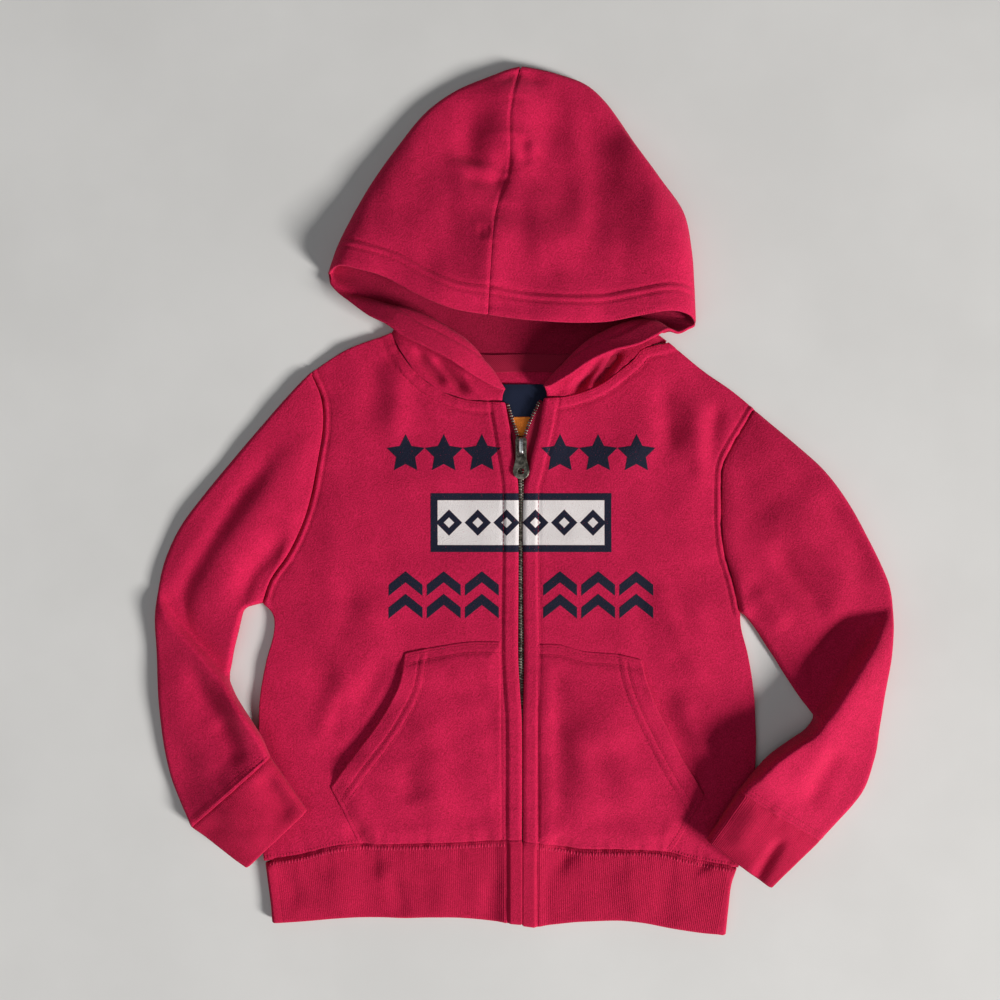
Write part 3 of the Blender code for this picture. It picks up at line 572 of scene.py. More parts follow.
@dataclass
class Net:
    """The nodes of one material or group, and short ways to add and join them."""

    tree: bpy.types.NodeTree

    def node(self, kind: str, **settings: object) -> bpy.types.Node:
        """A new node. Settings in capitals set inputs of that name, others set properties.

        Args:
            kind: the node's type, without its first word.
            settings: its inputs and properties.

        Returns:
            The node.
        """
        made = self.tree.nodes.new("ShaderNode" + kind)
        for name in [name for name in settings if name[0].islower()]:
            setattr(made, name, settings.pop(name))
        self.fill(made, **settings)
        return made

    def fill(self, node: bpy.types.Node, **inputs: object) -> None:
        """Puts values or sockets into the named inputs of a node, with _ for a space in a name."""
        for name, value in inputs.items():
            self.put(node.inputs[name.replace("_", " ")], value)

    def put(self, socket: Socket, value: object) -> None:
        """Joins a socket to an input, or sets the input to a value.

        Args:
            socket: the input.
            value: what goes into it: a socket, a number or a colour.
        """
        if isinstance(value, bpy.types.NodeSocket):
            self.tree.links.new(value, socket)
        elif isinstance(value, tuple) and len(value) == 3 and socket.type == "RGBA":
            socket.default_value = (*value, 1.0)
        else:
            socket.default_value = value

    def math(self, operation: str, *values: Value) -> Socket:
        """The result of a Math node on up to three values.

        Args:
            operation: the sum to work out.
            values: the values or sockets that go in.

        Returns:
            The socket that holds the result.
        """
        made = self.node("Math", operation=operation)
        for socket, value in zip(made.inputs, values):
            self.put(socket, value)
        return made.outputs[0]

    # Math nodes by short names. The last one multiplies two values and adds a third.
    add, sub = partialmethod(math, "ADD"), partialmethod(math, "SUBTRACT")
    min, max = partialmethod(math, "MINIMUM"), partialmethod(math, "MAXIMUM")
    abs, mul = partialmethod(math, "ABSOLUTE"), partialmethod(math, "MULTIPLY")
    mad = partialmethod(math, "MULTIPLY_ADD")

    def hypot(self, a: Value, b: Value) -> Socket:
        """The length of the way (a, b)."""
        return self.math("SQRT", self.add(self.mul(a, a), self.mul(b, b)))

    def ramp(self, value: Value, low: float, high: float) -> Socket:
        """0 below low and 1 above high, smooth between them."""
        settings = {"interpolation_type": "SMOOTHSTEP", "Value": value, "From_Min": low, "From_Max": high}
        return self.node("MapRange", **settings).outputs[0]

    def mix(self, share: Value, a: object, b: object, blend: str = "MIX") -> Socket:
        """A mix of two colours.

        Args:
            share: how much of b there is, from 0 to 1.
            a, b: the colours or their sockets.
            blend: how the two are mixed.

        Returns:
            The socket that holds the colour.
        """
        made = self.node("Mix", data_type="RGBA", blend_type=blend)
        self.put(made.inputs[0], share)
        self.put(made.inputs[6], a)
        self.put(made.inputs[7], b)
        return made.outputs[2]

    def noise(self, place: Socket, scale: Value, detail: float = 2.0, rough: float = 0.5) -> Socket:
        """The value of a noise texture."""
        return self.node("TexNoise", Vector=place, Scale=scale, Detail=detail, Roughness=rough).outputs[0]


def shader_group(name: str, inputs: dict[str, object], *outputs: str) -> tuple[Net, dict]:
    """A new shader node group.

    Args:
        name: the group's name.
        inputs: the default of each named input: a number, a colour, or None for a place.
        outputs: the names of the outputs. Color is a colour, every other one a number.

    Returns:
        The group's nodes, and its named input sockets with the output node under "out".
    """
    tree = bpy.data.node_groups.new(name, "ShaderNodeTree")
    for key, value in inputs.items():
        kind = "NodeSocketVector" if value is None else "NodeSocketFloat"
        if isinstance(value, tuple):
            kind = "NodeSocketColor"
        socket = tree.interface.new_socket(name=key, in_out="INPUT", socket_type=kind)
        if value is not None:
            socket.default_value = (*value, 1.0) if isinstance(value, tuple) else value
    for key in outputs:
        kind = "NodeSocketColor" if key == "Color" else "NodeSocketFloat"
        tree.interface.new_socket(name=key, in_out="OUTPUT", socket_type=kind)
    enter, leave = tree.nodes.new("NodeGroupInput"), tree.nodes.new("NodeGroupOutput")
    sockets = {key: enter.outputs[key] for key in inputs}
    sockets["out"] = leave
    return Net(tree), sockets


def fuzz_group() -> bpy.types.NodeTree:
    """Brushed cotton: a fine uneven grain, stray fibres, and patches where the nap lies another way.

    Returns:
        The group.
    """
    inputs = {"Place": None, "Grain": 900.0, "Low": (0.3, 0.01, 0.04), "High": (0.6, 0.02, 0.07)}
    net, at = shader_group("brushed_nap", inputs, "Color", "Height")
    grain = net.noise(at["Place"], at["Grain"], 3.0, 0.62)
    fibre = net.noise(at["Place"], net.mul(at["Grain"], 2.7), 2.0, 0.7)
    patch = net.noise(at["Place"], 95.0, 3.0, 0.55)
    tone = net.mad(grain, 0.75, net.mul(patch, 0.16))
    tone = net.mad(fibre, 0.55, tone)
    colour = net.mix(net.ramp(tone, 0.42, 1.02), at["Low"], at["High"])
    net.fill(at["out"], Color=colour, Height=net.mad(fibre, 0.45, grain))
    return net.tree


def weave_group() -> bpy.types.NodeTree:
    """A plain weave of two threads, for tapes and labels.

    Returns:
        The group.
    """
    inputs = {"Place": None, "Threads": 1500.0, "Low": (0.2, 0.01, 0.03), "High": (0.4, 0.02, 0.05)}
    net, at = shader_group("plain_weave", inputs, "Color", "Height")
    split = net.node("SeparateXYZ", Vector=at["Place"])
    over = net.math("SINE", net.mul(split.outputs[0], at["Threads"]))
    under = net.math("SINE", net.mul(split.outputs[1], at["Threads"]))
    height = net.abs(net.add(over, under))
    # The colour is lighter where the threads stand high and darker in the weave's dips: painted shade, over random
    # tone from the noise.
    tone = net.mad(net.noise(at["Place"], 1200.0), 0.6, net.mul(height, 0.3))
    net.fill(at["out"], Color=net.mix(tone, at["Low"], at["High"]), Height=height)
    return net.tree


def worn_metal_group() -> bpy.types.NodeTree:
    """Cast metal with tumbled edges: uneven tone, fine scratches and a pitted skin.

    Returns:
        The group.
    """
    inputs = {"Place": None, "Low": (0.08, 0.07, 0.06), "High": (0.4, 0.36, 0.3), "Rough": 0.35}
    net, at = shader_group("tumbled_metal", inputs, "Color", "Roughness", "Height")
    cloud = net.noise(at["Place"], 420.0, 4.0, 0.6)
    pits = net.noise(at["Place"], 2600.0, 2.0, 0.6)
    colour = net.mix(net.ramp(cloud, 0.35, 0.68), at["Low"], at["High"])
    rough = net.mad(cloud, 0.3, at["Rough"])
    net.fill(at["out"], Color=colour, Roughness=rough, Height=net.mad(pits, 0.5, cloud))
    return net.tree


def star_group() -> bpy.types.NodeTree:
    """How far inside a five-pointed star a place lies, in metres, above 0 within it.

    Returns:
        The group.
    """
    inputs = {"X": 0.0, "Y": 0.0, "Radius": 0.012, "Notch": 0.5}
    net, at = shader_group("star_row", inputs, "Inside")
    tenth = math.pi / 5
    turn = net.math("ARCTAN2", at["X"], at["Y"])
    slice_turn = net.abs(net.sub(net.math("FLOORED_MODULO", turn, 2 * tenth), tenth))
    slice_turn = net.sub(tenth, slice_turn)
    size = net.hypot(at["X"], at["Y"])
    px = net.mul(size, net.math("COSINE", slice_turn))
    py = net.mul(size, net.math("SINE", slice_turn))
    notch = net.mul(at["Radius"], at["Notch"])
    edge_x = net.sub(net.mul(notch, math.cos(tenth)), at["Radius"])
    edge_y = net.mul(notch, math.sin(tenth))
    size_edge = net.hypot(edge_x, edge_y)
    off_x = net.sub(px, at["Radius"])
    cross = net.sub(net.mul(edge_x, py), net.mul(edge_y, off_x))
    net.fill(at["out"], Inside=net.math("DIVIDE", cross, size_edge))
    return net.tree


@dataclass(frozen=True)
class ChestMotifs:
    """A plain geometric print across the chest: a row of stars, a banded row of diamonds, a row of chevrons.

    Lengths are metres. The print runs across both fronts; its stars and chevrons leave the placket bare, and its
    band runs across it.
    """

    pitch: float = 0.0278
    middle: float = -0.001
    first: float = 0.0285
    star_y: float = 0.0335
    star_radius: float = 0.0147
    band_y: float = -0.0165
    band_half: float = 0.0215
    band_line: float = 0.0052
    band_out: float = 0.066
    diamond: float = 0.0105
    chevron_y: float = -0.0605
    chevron_half: float = 0.0124
    chevron_thick: float = 0.0082
    chevron_drop: float = 0.0165
    chevron_tip: float = 0.0045
    soft: float = 0.00018

    def group(self) -> bpy.types.NodeTree:
        """The node group that gives the navy and the white parts of the print.

        Returns:
            A group with the outputs Navy and White, each 1 inside and 0 outside.
        """
        net, at = shader_group("chest_motifs", {"Place": None}, "Navy", "White")
        split = net.node("SeparateXYZ", Vector=at["Place"])
        x = net.abs(net.sub(split.outputs[0], self.middle))
        y = split.outputs[1]
        column = net.math("ROUND", net.math("DIVIDE", net.sub(x, self.first), self.pitch))
        column = net.min(net.max(column, 0.0), 2.0)
        own_x = net.sub(x, net.mad(column, self.pitch, self.first))
        star = net.node("Group", node_tree=bpy.data.node_groups["star_row"], Radius=self.star_radius, X=own_x)
        net.fill(star, Y=net.sub(y, self.star_y))
        stars = net.ramp(star.outputs[0], -self.soft, self.soft)
        arm = net.sub(y, self.chevron_y)
        slope = net.mad(net.abs(own_x), 0.8, arm)
        first = net.abs(net.sub(slope, self.chevron_tip))
        second = net.abs(net.sub(slope, self.chevron_tip - self.chevron_drop))
        thick = net.sub(self.chevron_thick / 2, net.min(first, second))
        reach = net.sub(self.chevron_half, net.abs(own_x))
        chevrons = net.ramp(net.min(thick, reach), -self.soft, self.soft)
        from_band = net.abs(net.sub(y, self.band_y))
        inside = net.min(net.sub(self.band_half, from_band), net.sub(self.band_out, x))
        whole = net.ramp(inside, -self.soft, self.soft)
        inner = net.ramp(net.sub(inside, self.band_line), -self.soft, self.soft)
        step = net.math("FLOORED_MODULO", x, 2 * self.diamond)
        across = net.abs(net.sub(step, self.diamond))
        diamond = net.sub(self.diamond * 0.92, net.add(across, from_band))
        diamonds = net.ramp(diamond, -self.soft, self.soft)
        core = net.sub(self.diamond * 0.36, net.add(across, from_band))
        core = net.ramp(core, -self.soft, self.soft)
        banded = net.sub(whole, net.mul(inner, net.sub(1.0, diamonds)))
        banded = net.sub(banded, net.mul(core, inner))
        worn = net.ramp(net.noise(at["Place"], 1500.0, 3.0, 0.6), 0.27, 0.36)
        navy = net.max(net.max(stars, chevrons), banded)
        white = net.sub(inner, net.mul(diamonds, inner))
        white = net.add(white, net.mul(core, inner))
        net.fill(at["out"], Navy=net.mul(navy, worn), White=net.mul(white, worn))
        return net.tree


def new_material(name: str) -> tuple[bpy.types.Material, Net, bpy.types.Node, Socket]:
    """A material with its shader, ready for a finish.

    Args:
        name: the material's name.

    Returns:
        The material, its nodes, its Principled shader, and the place on the object in metres.
    """
    made = bpy.data.materials.new(name)
    made.use_nodes = True
    net = Net(made.node_tree)
    shader = made.node_tree.nodes["Principled BSDF"]
    return made, net, shader, net.node("TexCoord").outputs["Object"]


@dataclass(frozen=True)
class Finish:
    """A finish with two tones."""

    name: str
    low: Triple
    high: Triple

    def made(self) -> bpy.types.Material:
        """A new material of this finish."""
        raise NotImplementedError

    def material(self) -> bpy.types.Material:
        """The material, made the first time that it is asked for."""
        return bpy.data.materials.get(self.name) or self.made()


@dataclass(frozen=True)
class ClothFinish(Finish):
    """Brushed or knitted cotton: the size of its grain, how deep and bright its nap is, its print, and how much
    painted shade darkens its low parts that face up.
    """

    grain: float = 900.0
    depth: float = 0.0006
    sheen: float = 0.1
    sheen_tint: Triple = (1.0, 0.35, 0.45)
    weave: str = "brushed_nap"
    motifs: bool = False
    inner: float = 1.0  # painted shade: how bright the colour stays where the cloth lies low, under 3.5 to 8 mm, and faces up, as deep in the hood's hollow; 1 for none
    navy: Triple = (0.006, 0.009, 0.024)
    white: Triple = (0.74, 0.72, 0.71)

    def made(self) -> bpy.types.Material:
        """A new material of this cloth.

        Returns:
            The material.
        """
        made, net, shader, place = new_material(self.name)
        weave = bpy.data.node_groups[self.weave]
        group = net.node("Group", node_tree=weave, Place=place, Low=self.low, High=self.high)
        net.put(group.inputs[1], self.grain)
        colour, height, rough = group.outputs["Color"], group.outputs["Height"], CLOTH_ROUGH
        # Painted shade: the colour is darkened where the cloth lies below 8 mm and faces up, standing in for the
        # shade deep in the hood's hollow.
        if self.inner < 1.0:
            facing = net.node("SeparateXYZ", Vector=net.node("NewGeometry").outputs["Normal"])
            painted_shade = net.ramp(net.node("SeparateXYZ", Vector=place).outputs[2], 0.008, 0.0035)
            painted_shade = net.mul(painted_shade, net.ramp(facing.outputs[2], 0.5, 0.8))
            colour = net.mix(painted_shade, colour, (self.inner,) * 3, "MULTIPLY")
        if self.motifs:
            print_on = net.node("Group", node_tree=bpy.data.node_groups["chest_motifs"], Place=place)
            navy = print_on.outputs["Navy"]
            white = net.mul(print_on.outputs["White"], 0.94)
            colour = net.mix(white, net.mix(navy, colour, self.navy), self.white)
            inked = net.add(navy, white)
            height = net.mad(inked, 0.35, height)
            rough = net.mad(inked, -0.25, CLOTH_ROUGH)
        bump = net.node("Bump", Height=height, Distance=self.depth, Strength=0.8)
        net.fill(shader, Base_Color=colour, Roughness=rough, Specular_IOR_Level=0.14, Sheen_Weight=self.sheen,
                 Sheen_Roughness=0.45, Sheen_Tint=self.sheen_tint, Normal=bump.outputs[0])
        return made


@dataclass(frozen=True)
class MetalFinish(Finish):
    """Cast zip metal with worn edges, and how rough it is."""

    rough: float = 0.28

    def made(self) -> bpy.types.Material:
        """A new material of this metal.

        Returns:
            The material.
        """
        made, net, shader, place = new_material(self.name)
        metal = bpy.data.node_groups["tumbled_metal"]
        group = net.node("Group", node_tree=metal, Place=place, Low=self.low, High=self.high, Rough=self.rough)
        bump = net.node("Bump", Height=group.outputs["Height"], Distance=0.00008, Strength=0.6)
        net.fill(shader, Base_Color=group.outputs["Color"], Roughness=group.outputs["Roughness"], Metallic=1.0,
                 Normal=bump.outputs[0])
        return made


FLEECE_RED = ClothFinish("fleece_red", (0.28, 0.0043, 0.0255), (0.66, 0.0128, 0.084))
# The hood's fleece carries painted shade on its low parts that face up, inside the hollow.
FLEECE_HOOD_SHADED = ClothFinish("fleece_red_hood", FLEECE_RED.low, FLEECE_RED.high, inner=0.6)
FLEECE_PRINTED = ClothFinish("fleece_red_printed", FLEECE_RED.low, FLEECE_RED.high, motifs=True)
RIB_RED = ClothFinish("rib_red", (0.27, 0.0042, 0.023), (0.60, 0.0115, 0.072), grain=1150.0, depth=0.00045)
TAPE_RED = ClothFinish(
    "zip_tape_red", (0.20, 0.006, 0.022), (0.42, 0.014, 0.055), 4200.0, 0.0002, 0.1, weave="plain_weave"
)
# The red thread is kept about 0.6 as bright as the fleece: its own red darkened with painted shade of the grooves
# that the stitches sink into.
THREAD_RED_SHADED = ClothFinish("thread_red", (0.19, 0.004, 0.018), (0.40, 0.012, 0.05), 2600.0, 0.0001, 0.05)
THREAD_PALE = ClothFinish("thread_pale", (0.42, 0.012, 0.05), (0.86, 0.05, 0.15), 2600.0, 0.0001, 0.05)
LABEL_NAVY = ClothFinish(
    "label_navy", (0.006, 0.009, 0.022), (0.016, 0.022, 0.05), 5200.0, 0.0001, 0.1, (0.6, 0.7, 1.0), "plain_weave"
)
TAG_ORANGE = ClothFinish(
    "tag_orange", (0.85, 0.19, 0.02), (1.0, 0.32, 0.05), 5200.0, 0.0001, 0.1, (1.0, 0.7, 0.5), "plain_weave"
)
GUNMETAL = MetalFinish("gunmetal", (0.075, 0.07, 0.06), (0.26, 0.24, 0.2))
BRIGHT_METAL = MetalFinish("bright_metal", (0.5, 0.5, 0.5), (0.85, 0.85, 0.83), 0.16)
TEETH_METAL = MetalFinish("teeth_metal", (0.06, 0.048, 0.038), (0.36, 0.32, 0.27), 0.3)


def dress(obj: Piece, finish: Finish, slot: str, *nodes: str, body: str = "hoodie") -> None:
    """Gives a piece its finish, and its place in the frame.

    Args:
        obj: the piece.
        finish: its finish.
        slot: the record's material slot; not used.
        nodes: the solids that it stands for.
        body: the body that it rides on.
    """
    if not obj.data.materials:
        obj.data.materials.append(finish.material())
    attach(obj, body)
    if nodes:
        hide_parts(*nodes)
    log.info("%s: %d faces", obj.name, len(obj.data.polygons))


# ---- the body's outline, each line from the hem up or from the side in ----
@dataclass(frozen=True)
class BodyOutline:
    """The lines round one front, and of the hem band below it."""

    side: Line
    armhole: Line
    shoulder: Line
    neck: Line
    zip_edge: Line
    hem: Line
    band_side: Line
    band_foot: Line


BODY = {
    RIGHT: BodyOutline(
        side=[
            (-189, -264), (-192, -234), (-193, -190), (-192, -146),
            (-187, -117), (-182, -99), (-182, -84), (-190, -75),
        ],
        armhole=[
            (-190, -75), (-184, -58), (-171, -39), (-161, -18), (-155, 1),
            (-150, 27), (-146, 52), (-147, 73), (-155, 93),
        ],
        shoulder=[(-155, 93), (-128, 110), (-96, 122)],
        neck=[(-96, 122), (-90, 109), (-78, 93), (-61, 80), (-41, 73), (-13, 71)],
        zip_edge=[
            (-0.9, -248), (-0.8, -200), (-1.0, -160), (-2.6, -135), (-3.7, -110),
            (-3.4, -60), (-3.4, 7), (-5, 22), (-8.5, 44), (-13, 71),
        ],
        hem=[(-189, -264), (-162, -260), (-133, -253), (-89, -252), (-50, -251), (-0.9, -248)],
        band_side=[(-188, -265), (-186, -281), (-184, -296), (-183, -308)],
        band_foot=[
            (-183, -308), (-162, -307), (-125, -304), (-88, -304), (-50, -304), (-13, -307), (-0.9, -308)
        ],
    ),
    LEFT: BodyOutline(
        side=[
            (158, -269), (164, -248), (169, -212), (171, -175),
            (169, -139), (165, -113), (160, -94), (159, -82),
        ],
        armhole=[
            (159, -82), (154, -58), (148, -37), (146, -16), (146, 7),
            (147, 24), (153, 38), (162, 53), (170, 66),
        ],
        shoulder=[(170, 66), (153, 80), (133, 94), (107, 115)],
        neck=[(107, 115), (88, 110), (81, 102), (71, 94), (59, 85), (46, 79), (31, 75), (16, 74)],
        zip_edge=[
            (0.9, -249), (0.8, -200), (0.9, -160), (1.6, -135), (2.0, -110),
            (1.2, -60), (1.4, 7), (4, 18), (7.5, 33), (12, 51), (16, 74),
        ],
        hem=[(158, -269), (128, -264), (99, -257), (42, -256), (17, -252), (0.9, -249)],
        band_side=[(157, -269), (153, -281), (151, -296), (149, -317)],
        band_foot=[(149, -317), (128, -315), (80, -307), (43, -307), (11, -310), (0.9, -309)],
    ),
}
BACK_NECK = [(-96, 122), (-67, 110), (-32, 104), (3, 104), (39, 104), (72, 109), (107, 115)]

# The folds that both fronts and their pockets show.
BODY_FOLDS = creases(
    (-3.2, 18, -150, -92, -146, -150, -142, -215), (2.6, 20, -112, -60, -110, -110, -104, -150),
    (-2.6, 9, 95, -135, 112, -170, 138, -205), (-2.4, 8, -92, -135, -108, -162, -140, -198),
    (2.7, 15, -160, -70, -140, -110, -120, -150), (1.7, 16, -150, 20, -130, -20, -110, -60),
    (1.7, 18, -70, -130, -66, -180, -60, -235), (1.9, 18, 60, -125, 66, -180, 70, -235),
    (2.5, 15, 135, -60, 128, -105, 120, -150), (1.9, 16, 118, 60, 122, 20, 122, -20),
    (1.5, 14, 100, 60, 82, 40, 60, 20), (-1.5, 9, -124.1, -62, -130.7, -102.2),
    (2.3, 9, -124.8, -118.3, -145.3, -162.8, -154, -189.8), (-1.5, 6, -128.5, -138.7, -140.9, -176.7),
    (-2.3, 8, -95.6, -105.8, -116.1, -146, -134.3, -184.7), (2.8, 9, -87.6, 113.1, -90.5, 73, -94.9, 36.5),
    (-2.3, 9, -106.6, 115.3, -109.5, 80.3, -114.6, 47.4), (1.9, 10, -140.2, 85.4, -138.7, 54.8, -141.6, 18.2),
    (1.7, 12, -137.2, 0, -140.2, -43.8, -146, -81.8), (1.9, 14, -67.2, -175.2, -59.9, -219, -56.2, -248.2),
    (-1.7, 9, -85.4, -188.3, -79.6, -222.7), (-1.7, 7, -23.4, -135, -20.4, -175.2, -19, -219),
    (-3.4, 8, -125.6, -230.7, -115.3, -255.5, -100.7, -268.6), (-4.2, 9, 103.7, 94.9, 106.6, 58.4, 109.5, 23.4),
    (4.6, 8, 122, 80, 128, 50, 130, 16, 120, 0), (-4.6, 6, 144, 76, 140, 50, 139, 24),
    (1.7, 6, 156.2, 64.2, 150.4, 35), (1.9, 8, 97.1, -52.6, 119, -114.6), (-1.5, 8, 80.3, -64.2, 99.3, -119.7),
    (2.1, 8, 112.4, -135.8, 122.6, -160.6, 135.8, -192.7), (-2, 10, 22.6, -109.5, 24.8, -160.6, 27.7, -242.4),
    (1.9, 12, 46, -138.7, 44.5, -189.8, 46, -246), (1.7, 12, 51.1, -138.7, 67.9, -182.5, 86.1, -227.8),
    (-2.3, 8, 20.4, -245.3, 36.5, -262.8),
)
BAND_FOLDS = creases(
    (-1.6, 7, -178.1, -264.3, -169.4, -281.1, -162.8, -299.3),
    (1.3, 10, -140.2, -266, -133, -286, -129.2, -306), (-2.6, 8, -125.6, -240, -115.3, -258, -100.7, -276),
    (-1.1, 6, -96.4, -268.6, -90.5, -288.3, -85.4, -309), (1, 9, -60, -262, -58, -290, -55, -312),
    (-1.3, 6, -24.8, -272, -24, -292, -23.4, -312), (-1.6, 8, 20.4, -245.3, 36.5, -268),
    (-1.3, 7, 32.1, -254, 27, -275), (1.3, 10, 71.5, -264, 80, -288, 86.1, -312),
    (-0.8, 8, 108, -262, 104, -288, 108, -316), (-2.4, 8, 122.6, -252.6, 135.8, -272),
)


def zip_rise(y: Points) -> Points:
    """How much the zip and what lies on it are raised over the slider's lower plate."""
    height, start, full = ZIP_RISE
    return height * ease(y, start, full)


@dataclass
class Front:
    """One front, from the side seam and the armhole to the zip, and from the hem to the shoulder and neck."""

    hand: Hand
    placket: float = 10.6  # from the zip's edge to the topstitch
    placket_swell: float = 0.9
    placket_low_lift: float = 2.2  # how much higher the edges lie where they close over the chain
    topstitch_depth: float = 0.65
    neck_stitch: float = 7.6
    piping: float = 2.7  # from the armhole seam to the crest of the raised edge beside it
    piping_height: float = 0.75

    def __post_init__(self) -> None:
        """Reads the outline once."""
        body = BODY[self.hand]
        self.side, self.armhole = smooth(body.side), smooth(body.armhole)
        self.shoulder, self.neck = smooth(body.shoulder), smooth(body.neck)
        self.zip_edge, self.hem = smooth(body.zip_edge), smooth(body.hem)

    def lies_at(self, xy: Points) -> Points:
        """How high the outer face lies before its seams are drawn in.

        Args:
            xy: flat points, in any grid.

        Returns:
            The height at each point.
        """
        to_rim = away_from(xy, join(self.side, self.armhole, self.shoulder))
        to_zip = away_from(xy, self.zip_edge)
        y = xy[..., 1]
        rise = FRONT_CROWN * (0.45 + 0.55 * ease(y, -265, -205)) + relief(xy, BODY_FOLDS)
        lies = FRONT_LIES_AT + rise * (1 - np.exp(-to_rim / CROWN_RUN))
        over_tape = TAPE_LIES_AT + TAPE + REST + zip_rise(y) + self.placket_low_lift * ease(y, -105, -150)
        share = np.exp(-((to_zip / PLACKET_RUN) ** 4))
        return np.maximum(lies, lies + (over_tape - lies) * share) + FLEECE

    def surface(self, xy: Points) -> Points:
        """How high the outer face lies, with seams, edges and the uneven lie of the cloth.

        Args:
            xy: flat points.

        Returns:
            A height for each point.
        """
        to_zip, _, zip_at = beside(xy, self.zip_edge)
        to_hem, _, hem_at = beside(xy, self.hem)
        to_arm, _, arm_at = beside(xy, self.armhole)
        to_neck, _, neck_at = beside(xy, self.neck)
        z = self.lies_at(xy) + lumps(xy, 11, 0.6, 16, 75) * (1 - np.exp(-to_zip / 12))
        strip = ease(to_zip, self.placket + 1.2, self.placket - 2.2) * ease(to_zip, -0.8, 2.4)
        z += self.placket_swell * strip
        z += puckers(zip_at * 320, np.abs(to_zip - 5), 0.14, 9, 6, 5)
        z -= self.topstitch_depth * bell(to_zip - self.placket, 1.3)
        edge = ease(to_neck, self.neck_stitch + 1.5, self.neck_stitch - 1.5) * ease(to_zip, 8, 14)
        z += 0.7 * edge - 0.95 * bell(to_neck - self.neck_stitch, 1.2) * ease(to_zip, 8, 14)
        z += self.piping_height * bell(to_arm - self.piping, 1.5) - 0.8 * bell(to_arm, 1.0)
        z -= 0.35 * bell(to_arm - self.piping - 2.6, 1.0)
        z += puckers(arm_at * 190, to_arm, 0.22, 11, 10, 6)
        z += puckers(hem_at * 190, to_hem, 0.26, 11, 10, 7) * ease(to_zip, 6, 14)
        z -= 0.4 * bell(to_hem, 1.6) * ease(to_zip, 4, 12)
        z += puckers(neck_at * 110, to_neck, 0.2, 8, 8, 8)
        return z

    def build(self) -> Piece:
        """Makes the front.

        Returns:
            The front's object.
        """
        first, turn = joined(self.side, self.armhole)
        high, corner = joined(self.shoulder, self.neck)
        across = spread(185, 2.1, 0.9, 0.75, 15, [corner])
        up = spread(330, 2.3, 1.0, 1.0, 12, [turn])
        xy = coons(self.hem, high, first, self.zip_edge, across, up)
        grid = with_height(xy, self.surface(xy))
        seams = np.concatenate([grid[0], grid[-1], grid[:, 0]])
        return shell(f"front_{self.hand.value}_cloth", [facing_up(grid)], FLEECE, seams=seams)

    def dress(self, obj: Piece) -> None:
        """Gives the front its print and its cut."""
        dress(obj, FLEECE_PRINTED, "fleece", "front_" + self.hand.value)


POCKET_TOP = {
    RIGHT: [(-14, -104), (-39, -104), (-65, -108), (-85, -112)],
    LEFT: [(9, -106), (26, -106), (45, -111), (69, -113), (86, -117)],
}
POCKET_OPENING = {
    RIGHT: [(-85, -112), (-88, -132), (-96, -149), (-108, -168), (-125, -190), (-139, -210)],
    LEFT: [(86, -117), (89, -130), (96, -149), (106, -170), (117, -191), (132, -215)],
}
POCKET_FOOT = {
    RIGHT: [(-13, -247), (-50, -249.5), (-89, -250.5), (-119, -251.5)],
    LEFT: [(10, -249), (30, -253), (70, -254.5), (108, -257)],
}
POCKET_LOW_SIDE = {
    RIGHT: [(-139, -210), (-130, -227), (-123, -243), (-119, -251.5)],
    LEFT: [(132, -215), (122, -233), (115, -246), (108, -257)],
}


@dataclass
class Pocket:
    """Half of the front pocket: sewn down at the top, the foot and the zip, with a slanted free opening."""

    front: Front
    rim: float = 15.5  # from the opening to the end of its hem
    rim_height: float = 0.5
    gape: float = 0.6
    top_band: float = 7.0

    def __post_init__(self) -> None:
        """Reads the outline once."""
        hand = self.front.hand
        self.top, self.foot = smooth(POCKET_TOP[hand]), smooth(POCKET_FOOT[hand])
        self.opening, self.low_side = smooth(POCKET_OPENING[hand]), smooth(POCKET_LOW_SIDE[hand])

    def surface(self, xy: Points) -> Points:
        """How high the pocket's outer face lies at each point.

        Args:
            xy: flat points, in any grid.

        Returns:
            The height at each point.
        """
        to_open, _, share = beside(xy, self.opening)
        inner = np.array([self.foot[0], self.top[0]])
        sewn = np.minimum(away_from(xy, self.low_side), away_from(xy, self.foot))
        sewn = np.minimum(sewn, np.minimum(away_from(xy, self.top), away_from(xy, inner)))
        tucked = 1.6 * ease(away_from(xy, inner), 3.5, 0)
        lift = 0.55 + (REST + FLEECE - 0.55) * ease(sewn, 0, 12) - tucked
        lift += self.gape * np.exp(-to_open / 6.5) * np.sin(math.pi * np.clip(share, 0.02, 0.98))
        lift += self.rim_height * ease(to_open, self.rim + 1.4, self.rim - 1.4)
        for place in (self.rim, self.rim - 5.4):
            lift -= 0.5 * bell(to_open - place, 1.0) * ease(sewn, 1, 5)
        to_top = away_from(xy, self.top)
        lift -= 0.45 * bell(to_top - self.top_band, 1.2) * ease(to_open, 2, 6)
        return self.front.surface(xy) + lift + lumps(xy, 23, 0.45, 16, 60) * ease(sewn, 0, 12)

    def build(self) -> Piece:
        """Makes the pocket.

        Returns:
            The pocket's object.
        """
        outer, turn = joined(self.low_side[::-1], self.opening[::-1])
        inner = np.array([self.foot[0], self.top[0]])
        across = spread(105, 2.0, 0.9, 1.2, 20)
        up = spread(150, 2.0, 1.1, 1.0, 12, [turn])
        xy = coons(self.foot[::-1], self.top[::-1], outer, inner, across, up)
        grid = with_height(xy, self.surface(xy))
        seams = np.concatenate([grid[0], grid[-1], grid[:, -1]])
        name = f"pocket_{self.front.hand.value}_cloth"
        return shell(name, [facing_up(grid)], FLEECE, seams=seams, seam_edge=0.9)

    def dress(self, obj: Piece) -> None:
        """Gives the pocket its finish and its cut."""
        dress(obj, FLEECE_RED, "fleece", "pocket_" + self.front.hand.value)


